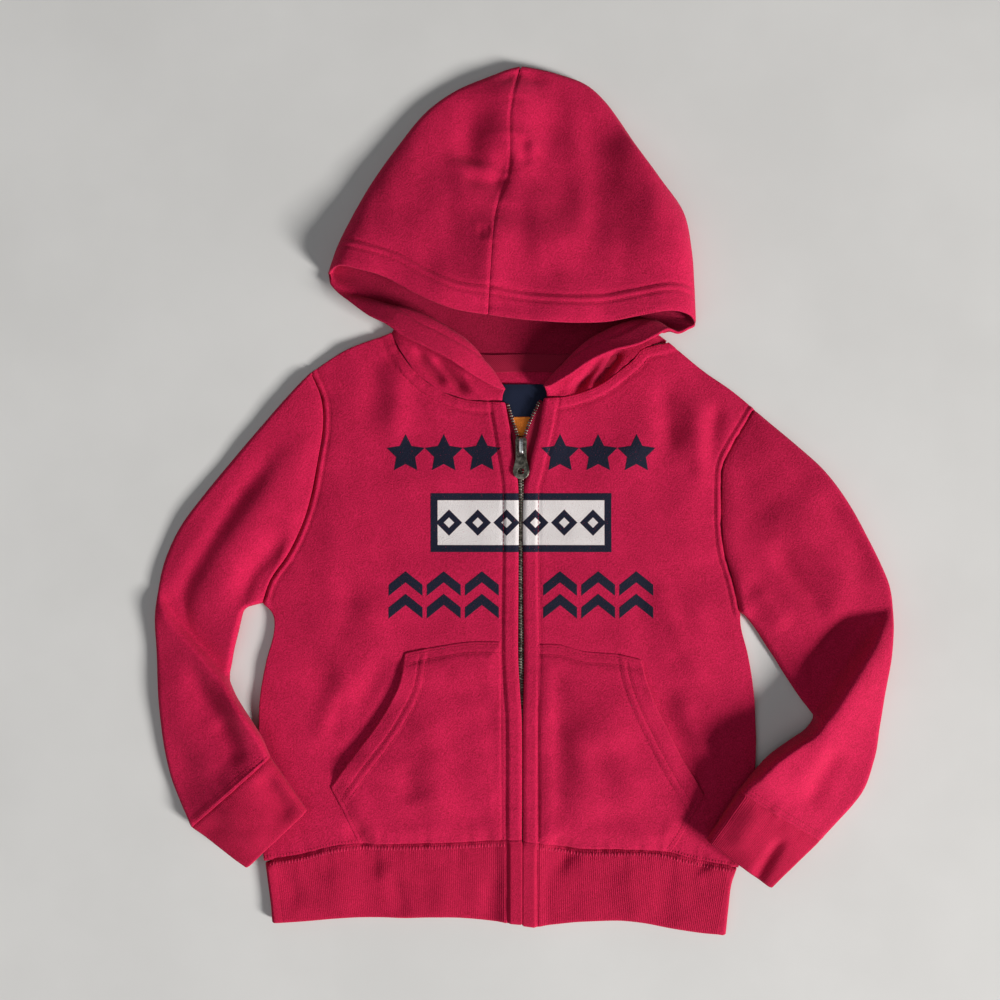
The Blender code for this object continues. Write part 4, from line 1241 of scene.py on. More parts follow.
@dataclass
class Back:
    """The back, which lies flat under everything: two half patches that meet at the middle."""

    def half(self, hand: Hand, neck: Points) -> Points:
        """The patch of one side, up to the middle of the back neck.

        Args:
            hand: the side.
            neck: half of the back neck's line, to the middle.

        Returns:
            The grid of points, all at height 0.
        """
        body = BODY[hand]
        hem = smooth(body.hem)
        hem = np.concatenate([hem[:-1], [[0.0, hem[-1, 1]]]])
        first, turn = joined(smooth(body.side), smooth(body.armhole))
        high, corner = joined(smooth(body.shoulder), neck)
        across, up = spread(185, 5, 2, 5, 10, [corner]), spread(360, 5, 2, 2.5, 12, [turn])
        xy = coons(hem, high, first, np.array([hem[-1], high[-1]]), across, up)
        xy[:, 0, 0] += -hand.outward * SEAM
        xy[0, :, 1] += SEAM
        xy[-1, :, 1] -= SEAM
        grid = with_height(xy, np.zeros(xy.shape[:-1]))
        return grid if hand is LEFT else grid[:, ::-1]

    def build(self) -> Piece:
        """Makes the back.

        Returns:
            The back's object.
        """
        neck = smooth(BACK_NECK)
        middle = int(np.argmin(np.abs(neck[:, 0])))
        neck[middle, 0] = 0.0
        right = self.half(RIGHT, neck[: middle + 1])
        left = self.half(LEFT, neck[middle:][::-1])
        right[:, 0], left[:, -1] = right[:, 0] * (0, 1, 1), left[:, -1] * (0, 1, 1)
        count = min(len(right), len(left))
        middle_line = along(right[:, 0], np.linspace(0, 1, count))
        grids = []
        for grid, column in ((right, 0), (left, -1)):
            rows = np.stack([along(grid[:, i], np.linspace(0, 1, count)) for i in range(grid.shape[1])], axis=1)
            rows[:, column] = middle_line
            grids.append(rows)
        turned = [grid if facing_up(grid) is not grid else grid[:, ::-1] for grid in grids]
        seams = np.concatenate([turned[0][0], turned[0][-1], turned[1][0], turned[1][-1]])
        return shell("back_cloth", turned, FLEECE, seams=seams)

    def dress(self, obj: Piece) -> None:
        """Gives the back its finish and its cut."""
        dress(obj, FLEECE_RED, "fleece", "back_panel")


# ---- hem band ----
@dataclass
class HemBand:
    """One strip of rib from the zip round the right side, the back and the left side to the zip."""

    rib_pitch: float = 1.4
    rib_height: float = 0.13
    points_a_rib: int = 4
    placket: float = 10.6
    placket_lift: float = 2.3
    first: float = 8.0  # from the zip's middle to the band's edge
    run: float = 186.0  # the length of one front's hem
    depth: float = 54.0

    def columns(self, outward: int, top: Points, foot: Points, side: Points, t: float) -> Points:
        """One row of points round one side, from the zip over the front and back under it.

        Args:
            outward: which way the side looks.
            top, foot: the band's edges on this side.
            side: the corner that it turns round.
            t: the share of the way from top to foot.

        Returns:
            The row's points.
        """
        fold = RIB + BAND_INSIDE / 2
        turn = np.linspace(math.pi / 2, -math.pi / 2, 15)[1:-1]
        inner = top + (foot - top) * t
        front = with_height(inner, np.full(len(inner), 2 * fold))
        inward = outward * fold * (1 - np.cos(turn))
        x, y = side[0] - inward, np.full(len(turn), side[1] - 2 * SEAM * (1 - t))
        round_side = np.stack([x, y, fold + fold * np.sin(turn)], axis=-1)
        under = with_height(inner[::-1], np.zeros(len(inner)))
        return np.concatenate([front, round_side, under])

    def fronts_at(self, hand: Hand, grid: Points) -> Points:
        """How high one front's hem lies beside each column of the band."""
        return Front(hand).surface(grid[:1, :, :2] + np.array((0.0, 1.0)))

    def build(self) -> Piece:
        """Makes the band.

        Returns:
            The band's object.
        """
        rows = []
        count = round(self.run / self.rib_pitch * self.points_a_rib)
        share = np.linspace(self.first / self.run, 1, count + 1)
        for t in spread(55, 4.2, 1.6, 2.2, 8):
            row = []
            for hand in Hand:
                body = BODY[hand]
                top, foot = along(smooth(body.hem), share[::-1]), along(smooth(body.band_foot), share[::-1])
                top[:, 1] += 1.0
                side = along(smooth(body.band_side), np.array([t]))[0]
                part = self.columns(hand.outward, top, foot, side, t)
                row.append(part if hand is RIGHT else part[::-1])
            rows.append(np.concatenate(row))
        grid = np.array(rows)
        normal = grid_normals(grid)
        arc = lengths(grid[len(grid) // 2])
        zip_x = np.abs(grid[..., 0])
        up = ease(grid[..., 2], 3, 6)
        bare = ease(zip_x, self.placket - 1.0, self.placket + 1.0)
        ribs = self.rib_height * np.cos(math.tau * arc / self.rib_pitch)[None] * np.maximum(bare, 1 - up)
        xy = grid[..., :2]
        to_top = (np.linspace(0, 1, len(grid)) * self.depth)[:, None] * np.ones(grid.shape[1])
        soft = relief(xy, BAND_FOLDS) + lumps(xy, 31, 0.3, 18, 60)
        soft += puckers(grid[..., 0], to_top, 0.28, 12, 12, 32)
        soft -= 0.4 * bell(to_top, 1.6)
        lift = self.placket_lift * ease(zip_x, 20, 9) + 0.9 * ease(zip_x, self.placket + 1.2, self.placket - 2.2)
        lift -= 0.9 * bell(zip_x - self.placket, 1.3)
        base = grid + normal * (up * soft * bare)[..., None]
        base[..., 2] += up * lift + (1 - up) * 0.3
        near_top = up * ease(to_top, 9, 0)
        meets = np.where(grid[..., 0] < 0, self.fronts_at(RIGHT, grid), self.fronts_at(LEFT, grid))
        base[..., 2] += near_top * (meets - 0.1 - base[..., 2])
        grid = base + normal * ribs[..., None]
        return shell("hem_band_rib", [grid], RIB, seams=grid[0], base=base)

    def dress(self, obj: Piece) -> None:
        """Gives the band its finish and its cut."""
        dress(obj, RIB_RED, "rib", "hem_band")


# ---- sleeves and cuffs ----
# Each section: x and y of its outer end, x and y of its inner end, its height, its share of the armhole's bow.
SLEEVE_SECTIONS = {
    RIGHT: [
        (-155.5, 93.5, -190.5, -75.2, 6.2, 1), (-169, 79.6, -193, -76, 7.4, 0.85),
        (-190, 56, -197, -77, 8.4, 0.60), (-213, 29, -201, -78.5, 8.8, 0.35), (-235, 2, -204, -82, 8.8, 0.15),
        (-251, -20, -205.5, -88, 8.8, 0), (-262, -44, -207.5, -97, 8.8, 0), (-267, -66, -210, -107, 8.8, 0),
        (-268.6, -88, -212.5, -119, 9, 0), (-268, -110, -214, -129, 9.6, 0), (-267, -138, -209, -140, 9.6, 0),
        (-265, -162, -202, -150, 9, 0), (-262, -184, -195, -160, 8.8, 0),
        (-255.5, -209.5, -187.6, -171.5, 8.8, 0), (-241.6, -238.7, -181.8, -185.4, 8.8, 0),
    ],
    LEFT: [
        (170.6, 66.2, 159.6, -82.2, 5.2, 1), (182.5, 55.5, 162, -83.5, 7.2, 0.85),
        (201.5, 38.7, 164.5, -86, 8.4, 0.60), (219, 21.9, 167, -89, 8.8, 0.35),
        (235.8, -0.7, 170, -93, 8.8, 0.15), (249.7, -25.6, 174, -99, 8.8, 0), (260.6, -47.5, 179, -107, 8.8, 0),
        (266.5, -62.8, 185, -116, 8.8, 0), (268.6, -80, 192.7, -128.5, 9, 0),
        (266.5, -104, 203, -144, 9.6, 0), (263.5, -132, 212, -157.5, 9.6, 0), (260.6, -162, 206, -167, 9, 0),
        (257, -187.6, 192.7, -174.5, 8.8, 0), (246.5, -216, 175.2, -186.2, 8.8, 0),
        (216.8, -247.5, 155.5, -208.1, 8.8, 0),
    ],
}
CUFF_OPENING = {
    RIGHT: (-200, -265, -156.2, -223.4, 8.4, 0),
    LEFT: (180.3, -278.9, 132.9, -243.8, 8.4, 0),
}
CUFF_RIDES_AT = {RIGHT: 10.4, LEFT: 12.0}
TUBE_ROLL = {RIGHT: 0.4, LEFT: 0.45}  # the rounded edge's width, as a share of its height
CUFF_CROWN = 3.0
CUFF_LEAN = {RIGHT: 2.0, LEFT: 6.0}
CUFF_RAMP = {RIGHT: (-248.0, -184.0), LEFT: (250.0, 148.0)}
SLEEVE_FOLDS = {
    RIGHT: [
        *creases(
            (-3.6, 8, -168, 56, -188, 26, -205, 2, -225, -28, -240, -53, -248, -72, -247, -90, -236, -104),
            (1.6, 12, -164, 20, -188, -6, -206, -36, -218, -66, -224, -96),
            (-4.5, 8, -168, -20, -184, -38, -198, -56, -206, -84),
            (-2.8, 8, -246, -108, -231.4, -138.7, -205.9, -175.2, -195.6, -187.6),
            (-2.4, 8, -224, -158, -210, -178, -204, -192),
            (2.4, 11, -253.3, -137.2, -238.7, -175.2, -219, -209.5),
        ),
        Overlap([(-182.5, -178.9), (-202.2, -146), (-227, -116.8), (-251.9, -89.8), (-267.2, -65.7)],
                4.5, 5.0, 14, 15, 1.0),
    ],
    LEFT: [
        *creases(
            (-2.4, 18, 160, 50, 162, 0, 172, -50, 190, -90), (-1.3, 10, 162, -31, 176, -8, 200, 12, 216, 27),
            (-3.6, 8, 180, -28, 196, -52, 214, -74, 224, -92), (3, 8, 166, -62, 180, -78, 194, -96),
            (2.4, 9, 192, -12, 224, -48, 244, -72), (-2.6, 8, 214, 6, 238, -30, 254, -60),
            (-4.5, 13, 249.7, -80.3, 228.5, -109.5, 212.4, -140.2), (-3.4, 8, 229, -177, 214, -202, 206, -226),
            (2, 10, 224, -160, 206, -188, 188, -212),
        ),
        Overlap([(267.2, -73), (252.6, -93.4), (232.1, -125.6), (214, -153), (189, -171), (166, -185), (142, -205)],
                15.5, 6.5, 34, 20, 2.6),
    ],
}
CUFF_FOLDS = {
    RIGHT: creases(
        (-3.8, 8, -190, -194, -178, -213, -166, -232), (1, 10, -222, -213, -202, -232, -184, -252),
    ),
    LEFT: creases(
        (-3.4, 5, 188, -238, 177, -257, 164, -280), (1.2, 8, 172, -212, 160, -231, 150, -252),
    ),
}


def cuff_rise(hand: Hand, place: Points) -> Points:
    """How much the top of a sleeve's end and of a cuff is raised over a flat tube."""
    return CUFF_CROWN * (1 - (2 * place - 1) ** 2) + CUFF_LEAN[hand] * place


def ring_shape(width: float, height: float, roll: float, flats: int, ends: int) -> Points:
    """A flattened ring: for each point its place across, from 0 to 1, and its share of the height.

    Args:
        width, height: the ring's size.
        roll: how far its ends are round, as a share of the height.
        flats: how many steps it has across, above and below.
        ends: how many steps round an end.

    Returns:
        One row for each point.
    """
    end = min(roll * height, 0.3 * width) / width
    turn = np.linspace(-math.pi / 2, math.pi / 2, ends + 1)
    flat = np.linspace(end, 1 - end, flats + 1)
    around = [(k, 0.0) for k in flat[:-1]]
    around += [(1 - end + end * math.cos(a), 0.5 + 0.5 * math.sin(a)) for a in turn]
    around += [(k, 1.0) for k in flat[::-1][1:-1]]
    around += [(end - end * math.cos(a), 0.5 + 0.5 * math.sin(a)) for a in turn[::-1]]
    return np.array(around[:-1])


@dataclass
class Tube:
    """What sleeves and cuffs share: flattened rings that follow the armhole and ride up onto the body."""

    hand: Hand
    flats: int
    ends: int

    def armhole_bow(self, where: Points) -> Points:
        """How far the armhole line bows from the straight line between its ends."""
        line = smooth(BODY[self.hand].armhole)[::-1]
        return along(line, where) - (line[0] + (line[-1] - line[0]) * where[:, None])

    def carried_at(self, xy: Points, share: float) -> Points:
        """How high the underside lies: on the surface, and on the body where the forearm crosses its side."""
        over = ease(xy[..., 0], *CUFF_RAMP[self.hand])
        return CUFF_RIDES_AT[self.hand] * over * ease(np.array(share), 0.55, 0.78)

    def rings(self, table: Points, shares_down: Points) -> tuple[Points, Points, Points]:
        """The rings of a tube.

        Args:
            table: a row of numbers for each section.
            shares_down: how far down the sleeve each section is.

        Returns:
            The grid of points, one ring in each row, each point's share of the height, and its place across,
            from 0 at the outer side to 1 at the inner side.
        """
        rows, levels, places = [], [], []
        for row, share in zip(table, shares_down):
            outer, inner = row[0:2], row[2:4]
            width = float(np.linalg.norm(outer - inner))
            around = ring_shape(width, row[4], TUBE_ROLL[self.hand], self.flats, self.ends)
            xy = outer + (inner - outer) * around[:, :1]
            xy = xy + row[5] * (self.armhole_bow(around[:, 0]) - (self.hand.outward * 0.5, 0.0))
            rows.append(with_height(xy, self.carried_at(xy, share) + row[4] * around[:, 1]))
            levels.append(around[:, 1])
            places.append(around[:, 0])
        return np.array(rows), np.array(levels), np.array(places)

    def turned(self, grid: Points) -> Points:
        """The grid in the order that makes its faces look out."""
        return grid if self.hand is RIGHT else grid[:, ::-1]


@dataclass
class Sleeve(Tube):
    """A tube from the armhole to the cuff, bent at the elbow, with its folds."""

    flats: int = 34
    ends: int = 12
    length: float = 345.0
    crown: float = 1.2
    lean: float = 9.0

    def build(self) -> Piece:
        """Makes the sleeve.

        Returns:
            The sleeve's object.
        """
        table = np.array(SLEEVE_SECTIONS[self.hand], float)
        at = shares((table[:, 0:2] + table[:, 2:4]) / 2)
        down = spread(self.length, 2.6, 1.0, 1.0, 10)
        grid, level, place = self.rings(curved(table, at, down), down)
        xy = grid[..., :2]
        seed = 41 if self.hand is RIGHT else 42
        from_end = (1 - down)[:, None] * self.length
        from_armhole = down[:, None] * self.length
        soft = relief(xy, SLEEVE_FOLDS[self.hand]) + lumps(xy, seed, 0.6, 16, 70)
        across = place if self.hand is RIGHT else 1 - place
        soft += self.crown * np.sin(math.pi * across)
        higher = 0.6 * (place - 0.5) if self.hand is RIGHT else (0.6 - place) * ease(from_end, 120, 200)
        soft += self.lean * higher * ease(from_armhole, 0, 60)
        soft *= ease(from_armhole, 0, 22)
        meets = cuff_rise(self.hand, place)
        soft = meets + (soft - meets) * ease(from_end, 0, 30)
        across = level * 0 + np.linspace(0, 150, grid.shape[1])
        soft += puckers(across, from_end, 0.3, 12, 11, seed + 2) + 0.45 * bell(from_end - 3.0, 1.5)
        soft += puckers(across, from_armhole, 0.3, 12, 9, seed + 4) - 0.5 * bell(from_armhole, 2.0)
        least = self.carried_at(xy, down[:, None]) + level * (2 * FLEECE + 0.3)
        grid[..., 2] = np.maximum(grid[..., 2] + soft * ease(level, 0.1, 0.6), least)
        grid = self.turned(grid)
        seams = np.concatenate([grid[0], grid[-1]])
        return shell(f"sleeve_{self.hand.value}_cloth", [grid], FLEECE, ring=True, seams=seams)

    def dress(self, obj: Piece) -> None:
        """Gives the sleeve its finish and its cut."""
        dress(obj, FLEECE_RED, "fleece", "sleeve_" + self.hand.value)


@dataclass
class Cuff(Tube):
    """A short rib tube from the end of the sleeve to the cuff's opening."""

    flats: int = 150
    ends: int = 44
    rib_pitch: float = 1.35
    rib_height: float = 0.22
    length: float = 50.0

    def build(self) -> Piece:
        """Makes the cuff.

        Returns:
            The cuff's object.
        """
        start = np.array(SLEEVE_SECTIONS[self.hand][-1], float)
        end = np.array(CUFF_OPENING[self.hand], float)
        way = (end - start)[:4].reshape(2, 2).mean(axis=0)
        start[:4] -= np.tile(way / np.linalg.norm(way) * 0.6, 2)
        down = spread(self.length, 3.0, 1.3, 1.6, 7)
        grid, level, place = self.rings(start + (end - start) * down[:, None], np.ones(len(down)))
        xy = grid[..., :2]
        from_seam = down[:, None] * self.length
        seed = 51 if self.hand is RIGHT else 52
        soft = relief(xy, CUFF_FOLDS[self.hand]) + lumps(xy, seed, 0.4, 14, 45)
        soft = soft * ease(from_seam, 0, 12) + cuff_rise(self.hand, place) * ease(from_seam, 75, -12)
        across = level * 0 + np.linspace(0, 130, grid.shape[1])
        soft += puckers(across, from_seam, 0.26, 10, 9, seed + 2) - 0.8 * bell(from_seam, 1.5)
        grid[..., 2] += soft * ease(level, 0.1, 0.6)
        middle = grid[len(grid) // 2]
        arc = lengths(np.concatenate([middle, middle[:1]]))[:-1]
        whole = round(arc[-1] / self.rib_pitch)
        ribs = self.rib_height * np.cos(math.tau * arc / arc[-1] * whole)
        grid = self.turned(grid)
        ribs = ribs if self.hand is RIGHT else ribs[::-1]
        ribbed = grid + grid_normals(grid, ring=True) * ribs[None, :, None]
        return shell(f"cuff_{self.hand.value}_rib", [ribbed], RIB, ring=True, seams=ribbed[0], base=grid)

    def dress(self, obj: Piece) -> None:
        """Gives the cuff its finish and its cut."""
        dress(obj, RIB_RED, "rib", "cuff_" + self.hand.value)


# ---- hood ----
HOOD_TIP = (-1, 317)
HOOD_OUTLINE = {
    RIGHT: [
        HOOD_TIP, (-10, 314.8), (-23, 310), (-49, 299), (-71, 283),
        (-93, 256), (-110, 232), (-124, 208), (-135, 186), (-142, 166),
    ],
    LEFT: [
        HOOD_TIP, (9, 315.5), (24, 312), (46, 304), (60, 292), (72, 276),
        (85, 256), (101, 234), (118, 210), (124, 182), (126, 155), (127, 131),
    ],
}
HOOD_CROWN_SEAM = [
    HOOD_TIP, (-6, 297), (-9, 277), (-9, 256), (-10, 237), (-16, 220), (-20, 203), (-23, 164), (-25, 133)
]
HOOD_BACK_SEAM = [HOOD_TIP, (2, 250), (5, 150)]
HOOD_MOUTH = {
    RIGHT: [(-25, 133), (-53, 138), (-78, 149), (-98, 160), (-115, 165), (-133, 169), (-142, 166)],
    LEFT: [
        (-25, 133), (4, 129), (34, 127), (59, 128), (82, 132), (106, 136), (120, 134), (127, 131)
    ],
}
# Below the mouth each row runs from the neck seam, up to the crest where the edge turns out, and down to the
# free edge. The first rows start on the hood's back seam, the last one at the top of the zip.
HOOD_ROWS = {
    RIGHT: [
        (4.7, 128, 0, -48, 140, 0, -100, 149, 1.5, -140, 158, 5.5),
        (4, 105.1, 0, -55, 125, 0, -113, 146, 3.5, -133, 150, 8),
        (-40, 106.1, 0, -78, 127, 1.5, -106, 143, 9.5, -122, 141, 14),
        (-72, 113.1, 0.4, -86, 127, 4, -97, 140, 13.5, -110, 132, 20),
        (-96.4, 123, 4, -92, 129, 7, -84, 137, 15, -97, 125, 25),
        (-89.7, 110.3, 6.8, -82, 120, 9, -69, 131, 17, -86, 117, 27.5),
        (-78.1, 92.9, 7, -70, 105, 9, -55, 123, 17.5, -70, 109, 28.5),
        (-61, 80, 7.1, -53, 93, 9, -38, 111, 17, -51, 99, 27.5),
        (-40, 73.3, 7.4, -35, 82, 9.4, -25, 95, 15.5, -35, 89, 22),
        (-15, 72.2, 8.4, -15, 75, 10.5, -14.5, 79, 13, -17, 79.5, 15.5),
    ],
    LEFT: [
        (4.7, 128, 0, 60, 131, 0, 100, 131, 1.5, 125.5, 127, 5.5),
        (4, 105.1, 0, 45, 113, 0, 90, 121, 3.5, 121, 124, 8),
        (38, 105.3, 0, 68, 115, 2, 96, 124, 7.5, 112, 119.5, 13.5),
        (72, 110.3, 0.4, 84, 119.5, 4.5, 92, 129, 11, 103, 121, 19),
        (107, 117, 2.5, 97, 122, 6, 80, 128, 14.5, 94, 116, 25),
        (90.5, 112.4, 6.7, 80, 115.5, 6.9, 63, 122, 15.5, 81, 109.5, 27.5),
        (74.5, 97.9, 6.6, 66, 105, 6.6, 47, 113, 16, 64, 105, 28.5),
        (57.4, 84.1, 7, 51, 93, 7.1, 34, 101, 15.5, 48, 98, 27),
        (36.7, 76.4, 7.6, 34, 83, 8, 24, 90, 14.5, 34, 89, 22.5),
        (18.2, 75.2, 8.4, 18, 78, 10.5, 17, 81.5, 13, 20, 81.5, 15.5),
    ],
}
HOOD_FOLDS = creases(
    (4.5, 24, -3, 312, -7, 280, -9, 246), (5, 18, -14, 212, -21, 175, -25, 136),
    (-3, 16, -30, 296, -38, 262, -44, 240), (5.4, 24, 70, 290, 92, 235, 98, 180, 92, 150),
    (-3.7, 20, 18, 290, 24, 235, 30, 185), (-2.6, 7, -9, 255, -14, 234, -19, 215),
    (2.7, 8, -9, 240, 3, 252, 14, 262), (-2, 10, -16, 215, -34, 242, -52, 268),
    (-1.7, 5, -7.3, 238, -25.6, 244.5, -50.4, 251.1), (-2, 6, -10.2, 232.1, -27, 230.7, -45.3, 232.1),
    (0.9, 5, -16.1, 236.5, -38, 240.2, -57.7, 244.5), (-1.6, 5, -21.2, 192, -33.6, 192),
    (-1.6, 4, -22, 304, -1.5, 307.5, 20, 303), (3, 14, 70, 280, 88, 236, 92, 180),
    (-4, 13, 48, 288, 54, 236, 50, 170), (2.4, 12, 9.5, 233.6, 13.1, 197.1, 16.8, 159.1),
    (-3.1, 5, 0.7, 264.3, 1.5, 239.4),
)
HOOD_PLEATS = creases(
    (-4.2, 3.6, 36, 76, 44, 86, 56, 104, 60, 110), (-4.2, 3.8, 50, 80, 58, 90, 69, 107, 74, 114),
    (-4.2, 3.8, -38, 76, -44, 82, -60, 101, -66, 108), (-3.6, 3.8, -55, 82, -61, 90, -75, 105, -80, 112),
)


@dataclass
class Hood:
    """Half of the hood: its lower layer, its upper layer, and the stretch below the mouth that turns out."""

    hand: Hand
    fold: float = 4.0  # half the height of the rounded fold along the outline
    low: float = 10.0  # height of the upper layer near the tip
    high: float = 24.0  # and at the mouth
    run: float = 7.0
    columns: int = 58
    hem: float = 18.0
    hem_rows: tuple[float, float] = (18.6, 13.4)

    def heights(self, xy: Points) -> tuple[Points, Points]:
        """The heights of the lower and the upper layer, which meet in a rounded fold along the outline.

        Args:
            xy: flat points, in any grid.

        Returns:
            The lower and the upper height at each point.
        """
        outline = join(smooth(HOOD_OUTLINE[RIGHT])[::-1], smooth(HOOD_OUTLINE[LEFT]))
        inside = away_from(xy, outline)
        inside[inside < 1e-3] = 0.0
        turned = np.sqrt(1 - (1 - np.minimum(inside / self.fold, 1)) ** 2)
        crown = self.low + (self.high - self.low) * ease(xy[..., 1], 300, 150) - 2 * self.fold
        soft = 1 - np.exp(-inside / self.run)
        crown = crown + relief(xy, HOOD_FOLDS) / np.maximum(soft, 0.45) + lumps(xy, 61, 1.1, 16, 80)
        return self.fold - self.fold * turned, self.fold + self.fold * turned + crown * soft

    def layer(self, seam: Points, mouth: Points) -> Points:
        """The flat patch of one layer: rows that fan out from the seam to the outline, from tip to mouth.

        Args:
            seam: the line of the centre seam.
            mouth: the mouth's edge, from the seam outward.

        Returns:
            The grid of flat points.
        """
        outline = smooth(HOOD_OUTLINE[self.hand])
        turn_at = np.array((7.0, 5.2, 3.8, 2.6, 1.7, 1.0, 0.5, 0.15, 0.0))
        rows = []
        for t in spread(200, 2.6, 1.2, 0.9, 24):
            start, end = along(seam, np.array([t]))[0], along(outline, np.array([t]))[0]
            width = max(float(np.linalg.norm(end - start)), 0.1)
            turn = turn_at * min(1.0, width / 12) / width
            near = spread(width * (1 - turn[0]) + 1e-3, width / self.columns, 0.4 * width / self.columns,
                          width / self.columns, min(9.0, 0.3 * width))
            near = np.interp(np.linspace(0, 1, self.columns), np.linspace(0, 1, len(near)), near)
            where = np.concatenate([near * (1 - turn[0]), 1 - turn[1:]])[:, None]
            bow = along(mouth, where[:, 0]) - (mouth[0] + (mouth[-1] - mouth[0]) * where)
            rows.append(start + (end - start) * where + bow * ease(np.array(t), 0.5, 1.0))
        return np.array(rows)[::-1]

    def skirt(self, first: Points) -> Points:
        """The rows below the mouth, from the lower layer's first row to the top of the zip.

        Args:
            first: the lower layer's first row.

        Returns:
            The grid of points, with that row first.
        """
        table = np.array(HOOD_ROWS[self.hand], float)
        at = lengths(table[:, 3:6])
        where = np.linspace(0, at[-1], 76)
        rows = curved(table, at, where)
        for i in range(3):
            rows[:, i] = np.interp(where, at, table[:, i])
        across = shares(first)
        grid = np.array([first] + [along(smooth(row.reshape(4, 3), 24), across) for row in rows])
        grid[1:, :, 2] = np.maximum(grid[1:, :, 2], 0.0)
        return grid

    def build(self) -> Piece:
        """Makes this half of the hood.

        Returns:
            The object of this half.
        """
        corner = np.array(HOOD_OUTLINE[self.hand][-1], float)
        back_seam, crown_seam, mouth = map(smooth, (HOOD_BACK_SEAM, HOOD_CROWN_SEAM, HOOD_MOUTH[self.hand]))
        lower_xy = self.layer(back_seam, np.array([back_seam[-1], corner]))
        upper_xy = self.layer(crown_seam, mouth)
        lower = with_height(lower_xy, self.heights(lower_xy)[0])
        upper = with_height(upper_xy, self.heights(upper_xy)[1])
        to_mouth = away_from(upper_xy, mouth)
        inside = away_from(upper_xy, smooth(HOOD_OUTLINE[self.hand]))
        flat = ease(inside, 1.5, 6)
        upper[..., 2] += 0.9 * flat * ease(to_mouth, self.hem + 1.6, self.hem - 1.2)
        for place in self.hem_rows:
            upper[..., 2] -= 0.95 * flat * bell(to_mouth - place, 1.15)
        upper[..., 2] -= 0.5 * flat * bell(to_mouth, 2.0)
        to_seam = away_from(upper_xy, crown_seam)
        upper[..., 2] -= 0.7 * flat * bell(to_seam, 1.5)
        upper[..., 2] += puckers(upper_xy[..., 1], to_seam, 0.3, 10, 8, 62) * flat
        skirt = self.skirt(lower[0])
        hem_from = np.linalg.norm(skirt - skirt[:, -1:], axis=-1)
        swell = 0.5 * ease(hem_from, 16, 13) - 0.5 * bell(hem_from - 15.5, 1.3)
        up = ease(np.arange(len(skirt))[:, None] / len(skirt), 0.05, 0.25)
        skirt = skirt - grid_normals(skirt) * (swell * up)[..., None] * self.hand.outward
        near_seam = ease(np.arange(skirt.shape[1])[None] / skirt.shape[1], 0.4, 0.25)
        skirt[..., 2] += relief(skirt, HOOD_PLEATS) * near_seam * up
        skirt[..., 2] = np.maximum(skirt[..., 2], 0.0)
        skirt[0] = lower[0]
        skirt = skirt[::-1]
        right = self.hand is RIGHT
        grids = [lower, upper[:, ::-1], skirt] if right else [lower[:, ::-1], upper, skirt[:, ::-1]]
        for grid in grids:
            from_tip = np.linalg.norm(grid[..., :2] - np.array(HOOD_TIP), axis=-1)
            grid[..., 0] += self.hand.outward * SEAM * 4 * np.exp(-from_tip / 10)
        seams = np.concatenate([lower[:, 0], upper[:, 0], skirt[:, 0], skirt[:1].reshape(-1, 3)])
        return shell(f"hood_{self.hand.value}_cloth", grids, FLEECE, seams=seams)

    def dress(self, obj: Piece) -> None:
        """Gives the hood half its finish and its cut."""
        dress(obj, FLEECE_HOOD_SHADED, "fleece", "hood_" + self.hand.value)


# ---- neck tape and labels ----
def beside_line(line: Points, across: Points) -> Points:
    """A flat grid beside a line: one row for each distance on its left.

    Args:
        line: flat points.
        across: the distances.

    Returns:
        The grid of flat points.
    """
    run = np.gradient(line, axis=0)
    side = np.stack([-run[:, 1], run[:, 0]], axis=1) / np.linalg.norm(run, axis=1, keepdims=True)
    return np.array([line + side * distance for distance in across])


@dataclass
class NeckTape:
    """The strip that covers the back neck seam inside the garment."""

    inset: tuple[float, float] = (-2.5, 9.5)
    span: tuple[float, float] = (0.17, 0.81)

    def build(self) -> Piece:
        """Makes the tape.

        Returns:
            The tape's object.
        """
        line = along(smooth(BACK_NECK), np.linspace(*self.span, 90))
        xy = beside_line(line, -np.linspace(*self.inset, 10))
        across = np.linspace(0, 1, 10)[:, None] * np.ones(90)
        z = FLEECE + REST + TAPE + 0.35 * np.sin(across * math.pi) + lumps(xy, 71, 0.12, 8, 30)
        for place in (0.14, 0.86):
            z = z - 0.25 * bell(across - place, 0.08)
        return shell("neck_tape_cloth", [facing_up(with_height(xy, z))], TAPE)

    def dress(self, obj: Piece) -> None:
        """Gives the tape its finish and its cut."""
        dress(obj, TAPE_RED, "fleece", "neck_tape")


@dataclass
class Label:
    """A small woven label with nothing on it, sewn down along its edges."""

    name: str
    node: str
    finish: ClothFinish
    slot: str
    width: float
    length: float
    x: float
    y: float

    def build(self) -> Piece:
        """Makes the label.

        Returns:
            The label's object.
        """
        across, up = np.linspace(-0.5, 0.5, 25), np.linspace(-0.5, 0.5, 17)
        xy = np.stack(np.meshgrid(across * self.width + self.x, up * self.length + self.y), axis=-1)
        to_side, to_end = np.abs(xy[..., 0] - self.x), np.abs(xy[..., 1] - self.y)
        edge = np.minimum(self.width / 2 - to_side, self.length / 2 - to_end)
        z = FLEECE + REST + TAPE + 0.3 * ease(edge, 0, 3) - 0.2 * bell(edge - 1.4, 0.6)
        z += lumps(xy, 81, 0.14, 9, 26)
        return shell(self.name, [facing_up(with_height(xy, z))], 0.7)

    def dress(self, obj: Piece) -> None:
        """Gives the label its finish and its cut.

        Args:
            obj: the label's object.
        """
        dress(obj, self.finish, self.slot, self.node)


# ---- zip ----
TEETH_LINE = {
    RIGHT: [(-2.05, -304), (-2.05, -100), (-2.05, 33), (-2.5, 39), (-4.3, 48), (-7.5, 58), (-11, 70)],
    LEFT: [(0.05, -304), (0.05, -100), (0.05, 33), (0.5, 39), (2.4, 48), (7, 60), (13, 72.5)],
}


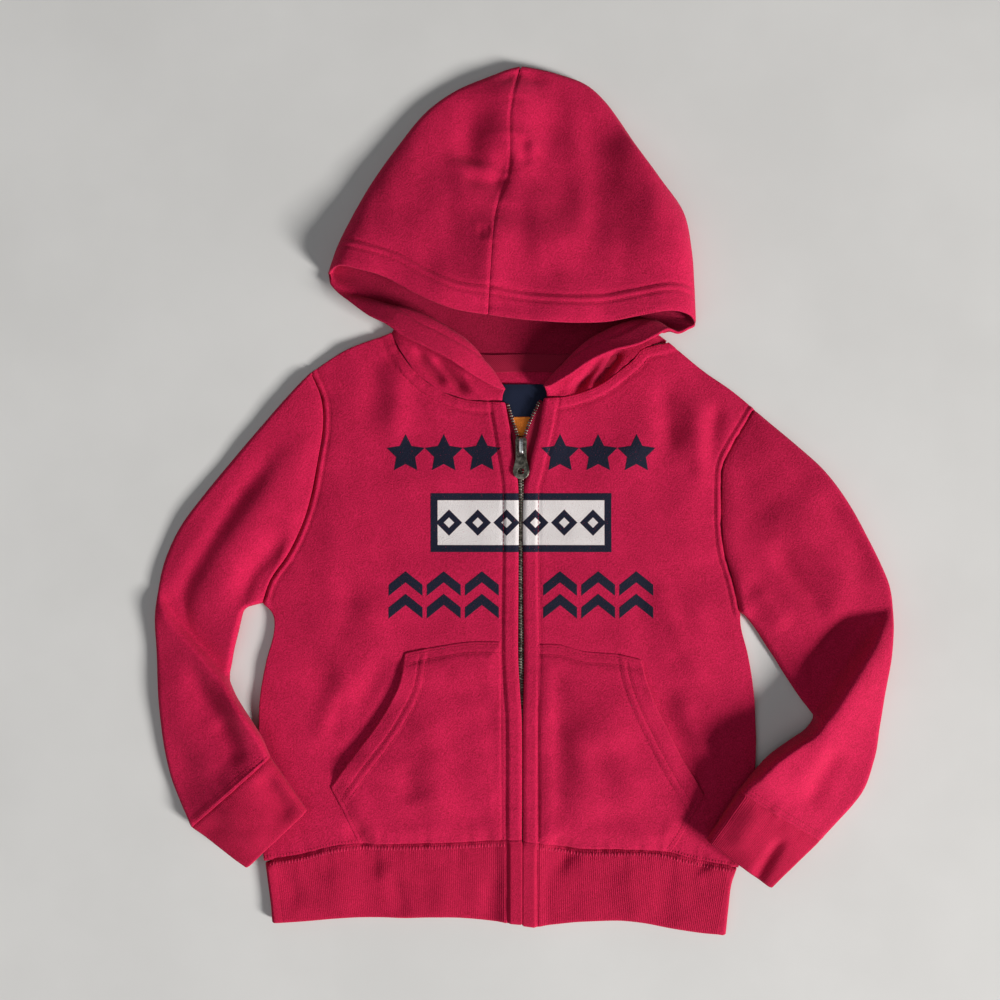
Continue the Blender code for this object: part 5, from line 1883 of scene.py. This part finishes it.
@dataclass
class ZipSide:
    """A tape, which lies under the placket, and the row of teeth on its edge."""

    hand: Hand
    tape_width: float = 10.0
    pitch: float = 2.0
    tooth: Triple = (2.7, 1.25, 2.1)  # across, along, high

    def __post_init__(self) -> None:
        """Reads the line once."""
        self.line = smooth(TEETH_LINE[self.hand])
        self.out = 1 if self.hand is RIGHT else -1

    def tape(self) -> Piece:
        """Makes the tape.

        Returns:
            The tape's object.
        """
        line = along(self.line, spread(float(lengths(self.line)[-1]), 3.0, 3.0, 1.2, 45))
        across = np.linspace(-0.6, self.tape_width, 9)
        xy = beside_line(line, self.out * across)
        bead = bell(across - 1.0, 1.1)[:, None]
        z = TAPE_LIES_AT + TAPE + zip_rise(xy[..., 1]) + 0.35 * bead
        return shell(f"zip_tape_{self.hand.value}_cloth", [facing_up(with_height(xy, z))], TAPE)

    def teeth(self) -> Piece:
        """Makes the row of teeth, each a rounded block clamped on the tape's edge.

        Returns:
            One object with all the teeth of this side.
        """
        total = float(lengths(self.line)[-1])
        start = 0.0 if self.hand is RIGHT else self.pitch / 2
        at = np.arange(start, total, self.pitch) / total
        centres, ahead = along(self.line, at), along(self.line, np.minimum(at + 0.002, 1))
        back = along(self.line, np.maximum(at - 0.002, 0))
        run = (ahead - back) / np.linalg.norm(ahead - back, axis=1, keepdims=True)
        turns, levels = 10, 6
        unit = []
        for b in np.linspace(-1.3, 1.3, levels + 1):
            for a in np.linspace(0, math.tau, turns + 1)[:-1]:
                flat = math.copysign(abs(math.cos(b)) ** 0.5, math.cos(b))
                rounded_box = [math.copysign(abs(k) ** 0.55, k) for k in (math.cos(a), math.sin(a), math.sin(b))]
                unit.append((flat * rounded_box[0], flat * rounded_box[1], rounded_box[2]))
        unit = np.array(unit) * np.array(self.tooth) / 2
        blank = [face[::-1] for face in rod_faces(levels, turns)]
        points, faces = [], []
        height = TAPE_LIES_AT + TAPE + SEAM + TEETH_THICK / 2
        for (x, y), (rx, ry) in zip(centres, run):
            side = np.array([ry, -rx]) * self.out
            middle = np.array([x, y]) + side * 0.35
            xy = middle + unit[:, :1] * side + unit[:, 1:2] * np.array([rx, ry])
            z = height + float(zip_rise(np.array(y))) + unit[:, 2]
            base = len(points) * len(unit)
            points.append(np.column_stack([xy, z]))
            faces += [tuple(base + k for k in face) for face in blank]
        return mesh_object(f"zip_teeth_{self.hand.value}_row", np.concatenate(points), faces)

    def build(self) -> list[Piece]:
        """Makes the tape and the teeth."""
        return [self.tape(), self.teeth()]

    def dress(self, tape: Piece, teeth: Piece) -> None:
        """Gives the tape and the teeth their finishes.

        Args:
            tape, teeth: their objects.
        """
        dress(tape, TAPE_RED, "zip_tape", "zip_tape_" + self.hand.value)
        dress(teeth, TEETH_METAL, "zip_metal", "zip_teeth_" + self.hand.value)


@dataclass
class Slider:
    """The slider: two rounded plates, side flanges, the wedge between them, and the bridge for the pull."""

    x: float = -1.0
    y: float = 38.5
    width: float = 8.6
    length: float = 15.0
    plate_thick: float = 1.0
    low_at: float = 2.4
    high_at: float = 8.35
    bridge_span: float = 12.4
    bridge_height: float = 3.2
    bridge_inset: float = 0.6

    def outline(self, width: float, length: float) -> Points:
        """The plate's outline: round at the foot, with a dip between its two shoulders at the head.

        Args:
            width, length: the plate's size.

        Returns:
            The outline's points.
        """
        line = rounded(width, length, self.x, self.y, width * 0.36, 9)
        from_top = line[:, 1] - (self.y + length / 2)
        narrow = 1 - 0.16 * ease(line[:, 1], self.y, self.y - length / 2)
        line[:, 0] = self.x + (line[:, 0] - self.x) * narrow
        line[:, 1] -= 0.9 * bell(line[:, 0] - self.x, 1.4) * ease(from_top, -2, 0)
        return line

    def bridge(self) -> Piece:
        """The arch that the pull hangs on, a flat bar bent at both ends.

        Returns:
            The bridge's object.
        """
        top = self.high_at + self.plate_thick + self.bridge_height - 0.45
        foot = self.high_at + self.plate_thick - 0.3
        end = self.y + self.length / 2 - self.bridge_inset
        start = end - self.bridge_span
        path = [
            (start + 0.5, foot), (start + 0.55, top - 1.5), (start + 1.9, top - 0.1), (self.y, top),
            (end - 1.9, top - 0.1), (end - 0.55, top - 1.5), (end - 0.5, foot),
        ]
        line = smooth(path, 6)
        run = np.gradient(line, axis=0)
        run /= np.linalg.norm(run, axis=1, keepdims=True)
        turn = np.linspace(0, math.tau, 17)[:-1]
        wide, high = np.cos(turn), np.sin(turn)
        wide, high = np.sign(wide) * np.abs(wide) ** 0.5, np.sign(high) * np.abs(high) ** 0.6
        ring = np.stack([1.5 * wide, 0.5 * high], axis=-1)
        points = []
        for (y, z), (dy, dz) in zip(line, run):
            points += [(self.x + a, y - dz * b, z + dy * b) for a, b in ring]
        return mesh_object("slider_bridge", np.array(points), rod_faces(len(line) - 1, len(ring)))

    def build(self) -> Piece:
        """Makes the slider as one object.

        Returns:
            The slider's object.
        """
        top = plate("slider_top", [self.outline(self.width, self.length)], self.plate_thick + 0.3,
                    self.high_at + self.plate_thick / 2, 0.45)
        low = plate("slider_low", [self.outline(self.width - 1, self.length - 1.4)], self.plate_thick,
                    self.low_at + self.plate_thick / 2, 0.3)
        wedge = plate("slider_wedge", [rounded(1.6, 2.6, self.x, self.y + 5.4, 0.6)],
                      self.high_at - self.low_at, (self.high_at + self.low_at) / 2 + 0.5, 0.1)
        flanges = [
            plate(f"slider_flange_{i}", [rounded(0.8, 8.5, self.x + side * 3.7, self.y - 1.2, 0.38)], 1.5,
                  self.high_at - 0.5, 0.15)
            for i, side in enumerate((-1, 1))
        ]
        bridge = self.bridge()
        pieces = [top, low, wedge, *flanges]
        for piece in pieces:
            piece.data.materials.append(GUNMETAL.material())
        bridge.data.materials.append(BRIGHT_METAL.material())
        every = [*pieces, bridge]
        with bpy.context.temp_override(active_object=top, selected_objects=every, selected_editable_objects=every):
            bpy.ops.object.join()
        top.name = "zip_slider_body"
        return top

    def dress(self, obj: Piece) -> None:
        """Puts the slider in the frame."""
        dress(obj, GUNMETAL, "zip_metal", "zip_slider")


@dataclass
class Pull:
    """The flat pull that hangs on the slider's bridge: a slot, a neck, and a wider round end with a hole."""

    x: float = -1.0
    y: float = 42.9
    z: float = 10.35
    length: float = 28.5
    thick: float = 1.2
    neck: float = 8.0
    head: float = 12.0
    neck_from: float = 15.0
    hole: float = 4.6
    slot: tuple[float, float] = (4.4, 10.4)

    def build(self) -> Piece:
        """Makes the pull.

        Returns:
            The pull's object.
        """
        top = self.y + self.thick / 2
        foot = top - self.length
        head, neck = self.head / 2, self.neck / 2
        turn = np.linspace(-math.pi, 0, 25)
        outline = [(self.x + head * math.cos(a), foot + head + head * math.sin(a)) for a in turn]
        flank = smooth([(head, foot + head), (head - 0.5, foot + head + 3), (neck, foot + self.neck_from)], 6)
        corner = [(neck, top - 1.2), (neck - 0.35, top - 0.35), (neck - 1.2, top)]
        right = [*[tuple(p) for p in flank[1:]], *corner]
        outline += [(self.x + a, b) for a, b in right] + [(self.x - a, b) for a, b in reversed(right)]
        slot_y = top - self.thick - self.slot[1] / 2
        slot = rounded(*self.slot, self.x, slot_y, 1.2)
        ring = np.linspace(0, math.tau, 29)[:-1]
        hole = [(self.x + self.hole / 2 * math.cos(a), foot + head + self.hole / 2 * math.sin(a)) for a in ring]
        return plate("zip_pull_tab", [np.array(outline), slot, np.array(hole)], self.thick, self.z, 0.32)

    def dress(self, obj: Piece) -> None:
        """Hangs the pull on its own body."""
        dress(obj, GUNMETAL, "zip_metal", "zip_pull", body="pull_tab")


# ---- stitching ----
TURNED_EDGE_ROW = {
    RIGHT: [(-107, 157), (-92.7, 146), (-78, 138.7), (-62.8, 128.5), (-45, 120), (-35, 113)],
    LEFT: [(51, 121), (64, 125), (79.6, 130.7), (95, 134)],
}


@dataclass(frozen=True)
class StitchRow:
    """A row of stitches along a line: how far apart, how long and how thick they are, and if they lie across."""

    line: Points
    pitch: float = 3.0
    length: float = 2.4
    thick: float = 0.42
    across: bool = False
    raise_by: float = 0.02


@dataclass
class Sewing:
    """The stitches of one piece, as one mesh of small rounded threads that lie on its surface."""

    cloth: Piece
    rows: Sequence[StitchRow]
    finish: Finish = THREAD_RED_SHADED
    slot: str = "fleece"

    def build(self) -> Piece:
        """Lays every stitch on the cloth below it.

        Returns:
            The object that holds all the stitches.
        """
        tree = BVHTree.FromPolygons(
            [tuple(vert.co) for vert in self.cloth.data.vertices],
            [tuple(face.vertices) for face in self.cloth.data.polygons],
        )
        stations = np.array([(-0.5, 0.35), (-0.28, 1.0), (0.28, 1.0), (0.5, 0.35)])
        turn = np.linspace(0, math.tau, 6)[:-1]
        blank = rod_faces(len(stations) - 1, len(turn))
        points, faces = [], []
        for row in self.rows:
            total = float(lengths(row.line)[-1])
            count = max(2, round(total / row.pitch))
            at = (np.arange(count) + 0.5) / count
            centres = along(row.line, at)
            step = row.length / 2 / total
            run = along(row.line, np.minimum(at + step, 1)) - along(row.line, np.maximum(at - step, 0))
            for (x, y), (dx, dy) in zip(centres[:, :2], run[:, :2]):
                hit, normal, _, _ = tree.ray_cast(Vector((x / 1000, y / 1000, 0.08)), Vector((0, 0, -1)))
                if hit is None:
                    continue
                up = np.array(normal) * (1 if normal.z > 0 else -1)
                way = np.array((-dy, dx, 0.0) if row.across else (dx, dy, 0.0))
                way = way - up * way.dot(up)
                way /= max(float(np.linalg.norm(way)), 1e-9)
                side = np.cross(up, way)
                centre = np.array(hit) * 1000 + up * row.raise_by
                base = len(points)
                for along_it, size in stations:
                    for a in turn:
                        offset = side * math.cos(a) + up * math.sin(a) * 0.8
                        points.append(centre + way * along_it * row.length + offset * size * row.thick / 2)
                faces += [tuple(base + k for k in face) for face in blank]
        return mesh_object(self.cloth.name.rsplit("_", 1)[0] + "_stitches", np.array(points), faces)

    def dress(self, obj: Piece) -> None:
        """Gives the thread its finish."""
        dress(obj, self.finish, self.slot)


def shifted(line: Points, distance: float) -> Points:
    """A line moved sideways by a distance to its left."""
    return beside_line(line, np.array([distance]))[0]


def part_of(line: Points, start: float, end: float) -> Points:
    """The stretch of a line between two shares of its length, at 1 mm steps."""
    count = max(3, int(lengths(line)[-1] * abs(end - start)))
    return along(line, np.linspace(start, end, count))


def front_rows(front: Front) -> list[StitchRow]:
    """The rows on a front: placket, neck, armhole and hem.

    Args:
        front: the front.

    Returns:
        The rows to sew.
    """
    sign = front.hand.outward
    return [
        StitchRow(shifted(part_of(front.zip_edge, 0.0, 0.985), -sign * front.placket)),
        StitchRow(shifted(part_of(front.neck, 0.04, 0.88), sign * front.neck_stitch)),
        StitchRow(shifted(part_of(front.neck, 0.04, 0.97), sign * 1.6), 2.2, 1.6, 0.35),
        StitchRow(shifted(part_of(front.armhole, 0.02, 0.98), sign * (front.piping + 2.4)), 2.2, 1.7, 0.36),
        StitchRow(shifted(part_of(front.hem, 0.0, 0.94), -sign * 2.6), 2.3, 2.0, 0.6, True),
    ]


def band_rows(front: Front) -> list[StitchRow]:
    """The row of ticks on the band, just below the front's hem."""
    return [StitchRow(shifted(part_of(front.hem, 0.02, 0.94), front.hand.outward * 2.4), 2.3, 2.6, 0.7, True)]


def pocket_rows(pocket: Pocket) -> list[StitchRow]:
    """The rows on a pocket: its hem, its top, its lower side and its foot.

    Args:
        pocket: the pocket.

    Returns:
        The rows to sew.
    """
    sign = pocket.front.hand.outward
    rows = []
    for inset in (pocket.rim, pocket.rim - 5.4):
        rows.append(StitchRow(shifted(part_of(pocket.opening, 0.03, 1.0), -sign * inset), 2.6, 2.1))
    for inset in (1.6, pocket.top_band):
        rows.append(StitchRow(shifted(part_of(pocket.top, 0.0, 0.98), -sign * inset), 2.6, 2.1))
    rows.append(StitchRow(shifted(part_of(pocket.low_side, 0.05, 1.0), -sign * 3.0), 2.6, 2.1))
    return rows


def sleeve_rows(hand: Hand) -> list[StitchRow]:
    """The two rows on a sleeve, just above the cuff's seam.

    Args:
        hand: which sleeve.

    Returns:
        The rows to sew.
    """
    end = np.array(SLEEVE_SECTIONS[hand][-1][:4], float).reshape(2, 2)
    seam = along(end, np.linspace(0.03, 0.97, 40))
    return [StitchRow(shifted(seam, -hand.outward * inset), 2.6, 2.1, 0.45) for inset in (1.8, 5.0)]


def hood_edge_rows(hood: Hood) -> list[StitchRow]:
    """The rows on a hood half: two along the hem of the mouth, and the ticks along the hem of the turned edge.

    Args:
        hood: the half of the hood.

    Returns:
        The rows to sew.
    """
    mouth = smooth(HOOD_MOUTH[hood.hand])
    sign = hood.hand.outward
    rows = [StitchRow(shifted(part_of(mouth, 0.0, 0.93), sign * inset)) for inset in hood.hem_rows]
    for offset in (0.0, 2.6):
        rows.append(StitchRow(shifted(smooth(TURNED_EDGE_ROW[hood.hand]), offset), 1.7, 1.8, 0.4, True))
    return rows


# ---- studio ----
@dataclass(frozen=True)
class Lamp:
    """A soft square light that points at the garment: where it stands, its power, size and colour."""

    name: str
    place: Triple
    power: float
    size: float
    colour: Triple = (1.0, 1.0, 1.0)

    def build(self) -> None:
        """Adds the light."""
        data = bpy.data.lights.new(self.name, "AREA")
        data.energy, data.size, data.color = self.power, self.size, self.colour
        obj = placed(self.name, data)
        obj.location = self.place
        obj.rotation_euler = (-Vector(self.place)).to_track_quat("-Z", "Y").to_euler()


@dataclass
class Studio:
    """The pale floor, the soft lights, and the camera straight above the garment."""

    camera_at: Triple = (-0.0163, 0.0, 0.736)
    view: float = 53.13
    lamps: tuple[Lamp, ...] = (
        Lamp("window", (5.1, -3.2, 2.9), 750.0, 1.6, (1.0, 0.98, 0.96)),
        Lamp("sky", (-0.9, -0.4, 1.9), 9.5, 2.0, (0.96, 0.98, 1.0)),
    )

    def floor(self) -> Piece:
        """The pale floor that the garment lies on.

        Returns:
            The floor's object.
        """
        made, net, shader, place = new_material("pale_floor")
        tone = net.ramp(net.noise(place, 6.0, 4.0, 0.55), 0.3, 0.7)
        net.fill(shader, Base_Color=net.mix(tone, (0.60, 0.595, 0.58), (0.64, 0.635, 0.62)), Roughness=0.85)
        points = np.array([(-2500, -2500, 0), (2500, -2500, 0), (2500, 2500, 0), (-2500, 2500, 0)], float)
        points[:, 2] -= 0.3
        obj = mesh_object("studio_floor", points, [(0, 1, 2, 3)])
        obj.data.materials.append(made)
        return obj

    def build(self) -> None:
        """Adds the camera, the floor and the lights."""
        data = bpy.data.cameras.new("camera")
        data.sensor_fit = "HORIZONTAL"
        data.angle = math.radians(self.view)
        data.clip_start = 0.01
        camera = placed("camera", data)
        camera.location = self.camera_at
        bpy.context.scene.camera = camera
        self.floor()
        for lamp in self.lamps:
            lamp.build()
        world = bpy.data.worlds.new("studio_air")
        world.use_nodes = True
        Net(world.node_tree).fill(world.node_tree.nodes["Background"], Color=(0.92, 0.95, 1.0), Strength=0.11)
        bpy.context.scene.world = world
        bpy.context.scene.view_settings.view_transform = "Standard"


class Buildable(Protocol):
    """A piece that builds and dresses one object."""

    def build(self) -> Piece:
        """Makes the object."""

    def dress(self, obj: Piece) -> None:
        """Gives it its finish and its place in the frame."""


def make(piece: Buildable, rows: Sequence[StitchRow] = (), *thread: Finish | str) -> None:
    """Builds and dresses a piece, then sews its rows with the finish and slot of thread, if they are given.

    Args:
        piece: what to build.
        rows: the rows of stitches.
        thread: the finish and the slot.
    """
    obj = piece.build()
    piece.dress(obj)
    if rows:
        make(Sewing(obj, rows, *thread))


def build_body() -> None:
    """The back, both fronts with their pockets, and the hem band."""
    make(Back())
    for hand in Hand:
        front = Front(hand)
        make(front, front_rows(front))
        make(Pocket(front), pocket_rows(Pocket(front)))
    make(HemBand(), [row for hand in Hand for row in band_rows(Front(hand))], THREAD_PALE, "rib")


def build_arms_and_hood() -> None:
    """The sleeves, the cuffs and the hood."""
    for hand in Hand:
        make(Sleeve(hand), sleeve_rows(hand))
        make(Cuff(hand))
    for hand in Hand:
        make(Hood(hand), hood_edge_rows(Hood(hand)))


def build_trims() -> None:
    """The neck tape, the labels and the zip."""
    make(NeckTape())
    make(Label("neck_label_cloth", "neck_label", LABEL_NAVY, "label", 36.0, 23.0, 0.5, 73.0))
    make(Label("size_tag_cloth", "size_tag", TAG_ORANGE, "size_tag", 13.0, 13.5, 0.0, 53.8))
    for hand in Hand:
        side = ZipSide(hand)
        side.dress(*side.build())
    make(Slider())
    make(Pull())


def main() -> None:
    """Makes the studio and every piece of the dressed garment."""
    logging.basicConfig(level=logging.INFO, format="%(name)s: %(message)s")
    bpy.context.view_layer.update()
    for group in (fuzz_group, weave_group, worn_metal_group, star_group, ChestMotifs().group):
        group()
    Studio().build()
    build_body()
    build_arms_and_hood()
    build_trims()


if __name__ == "__main__":
    main()
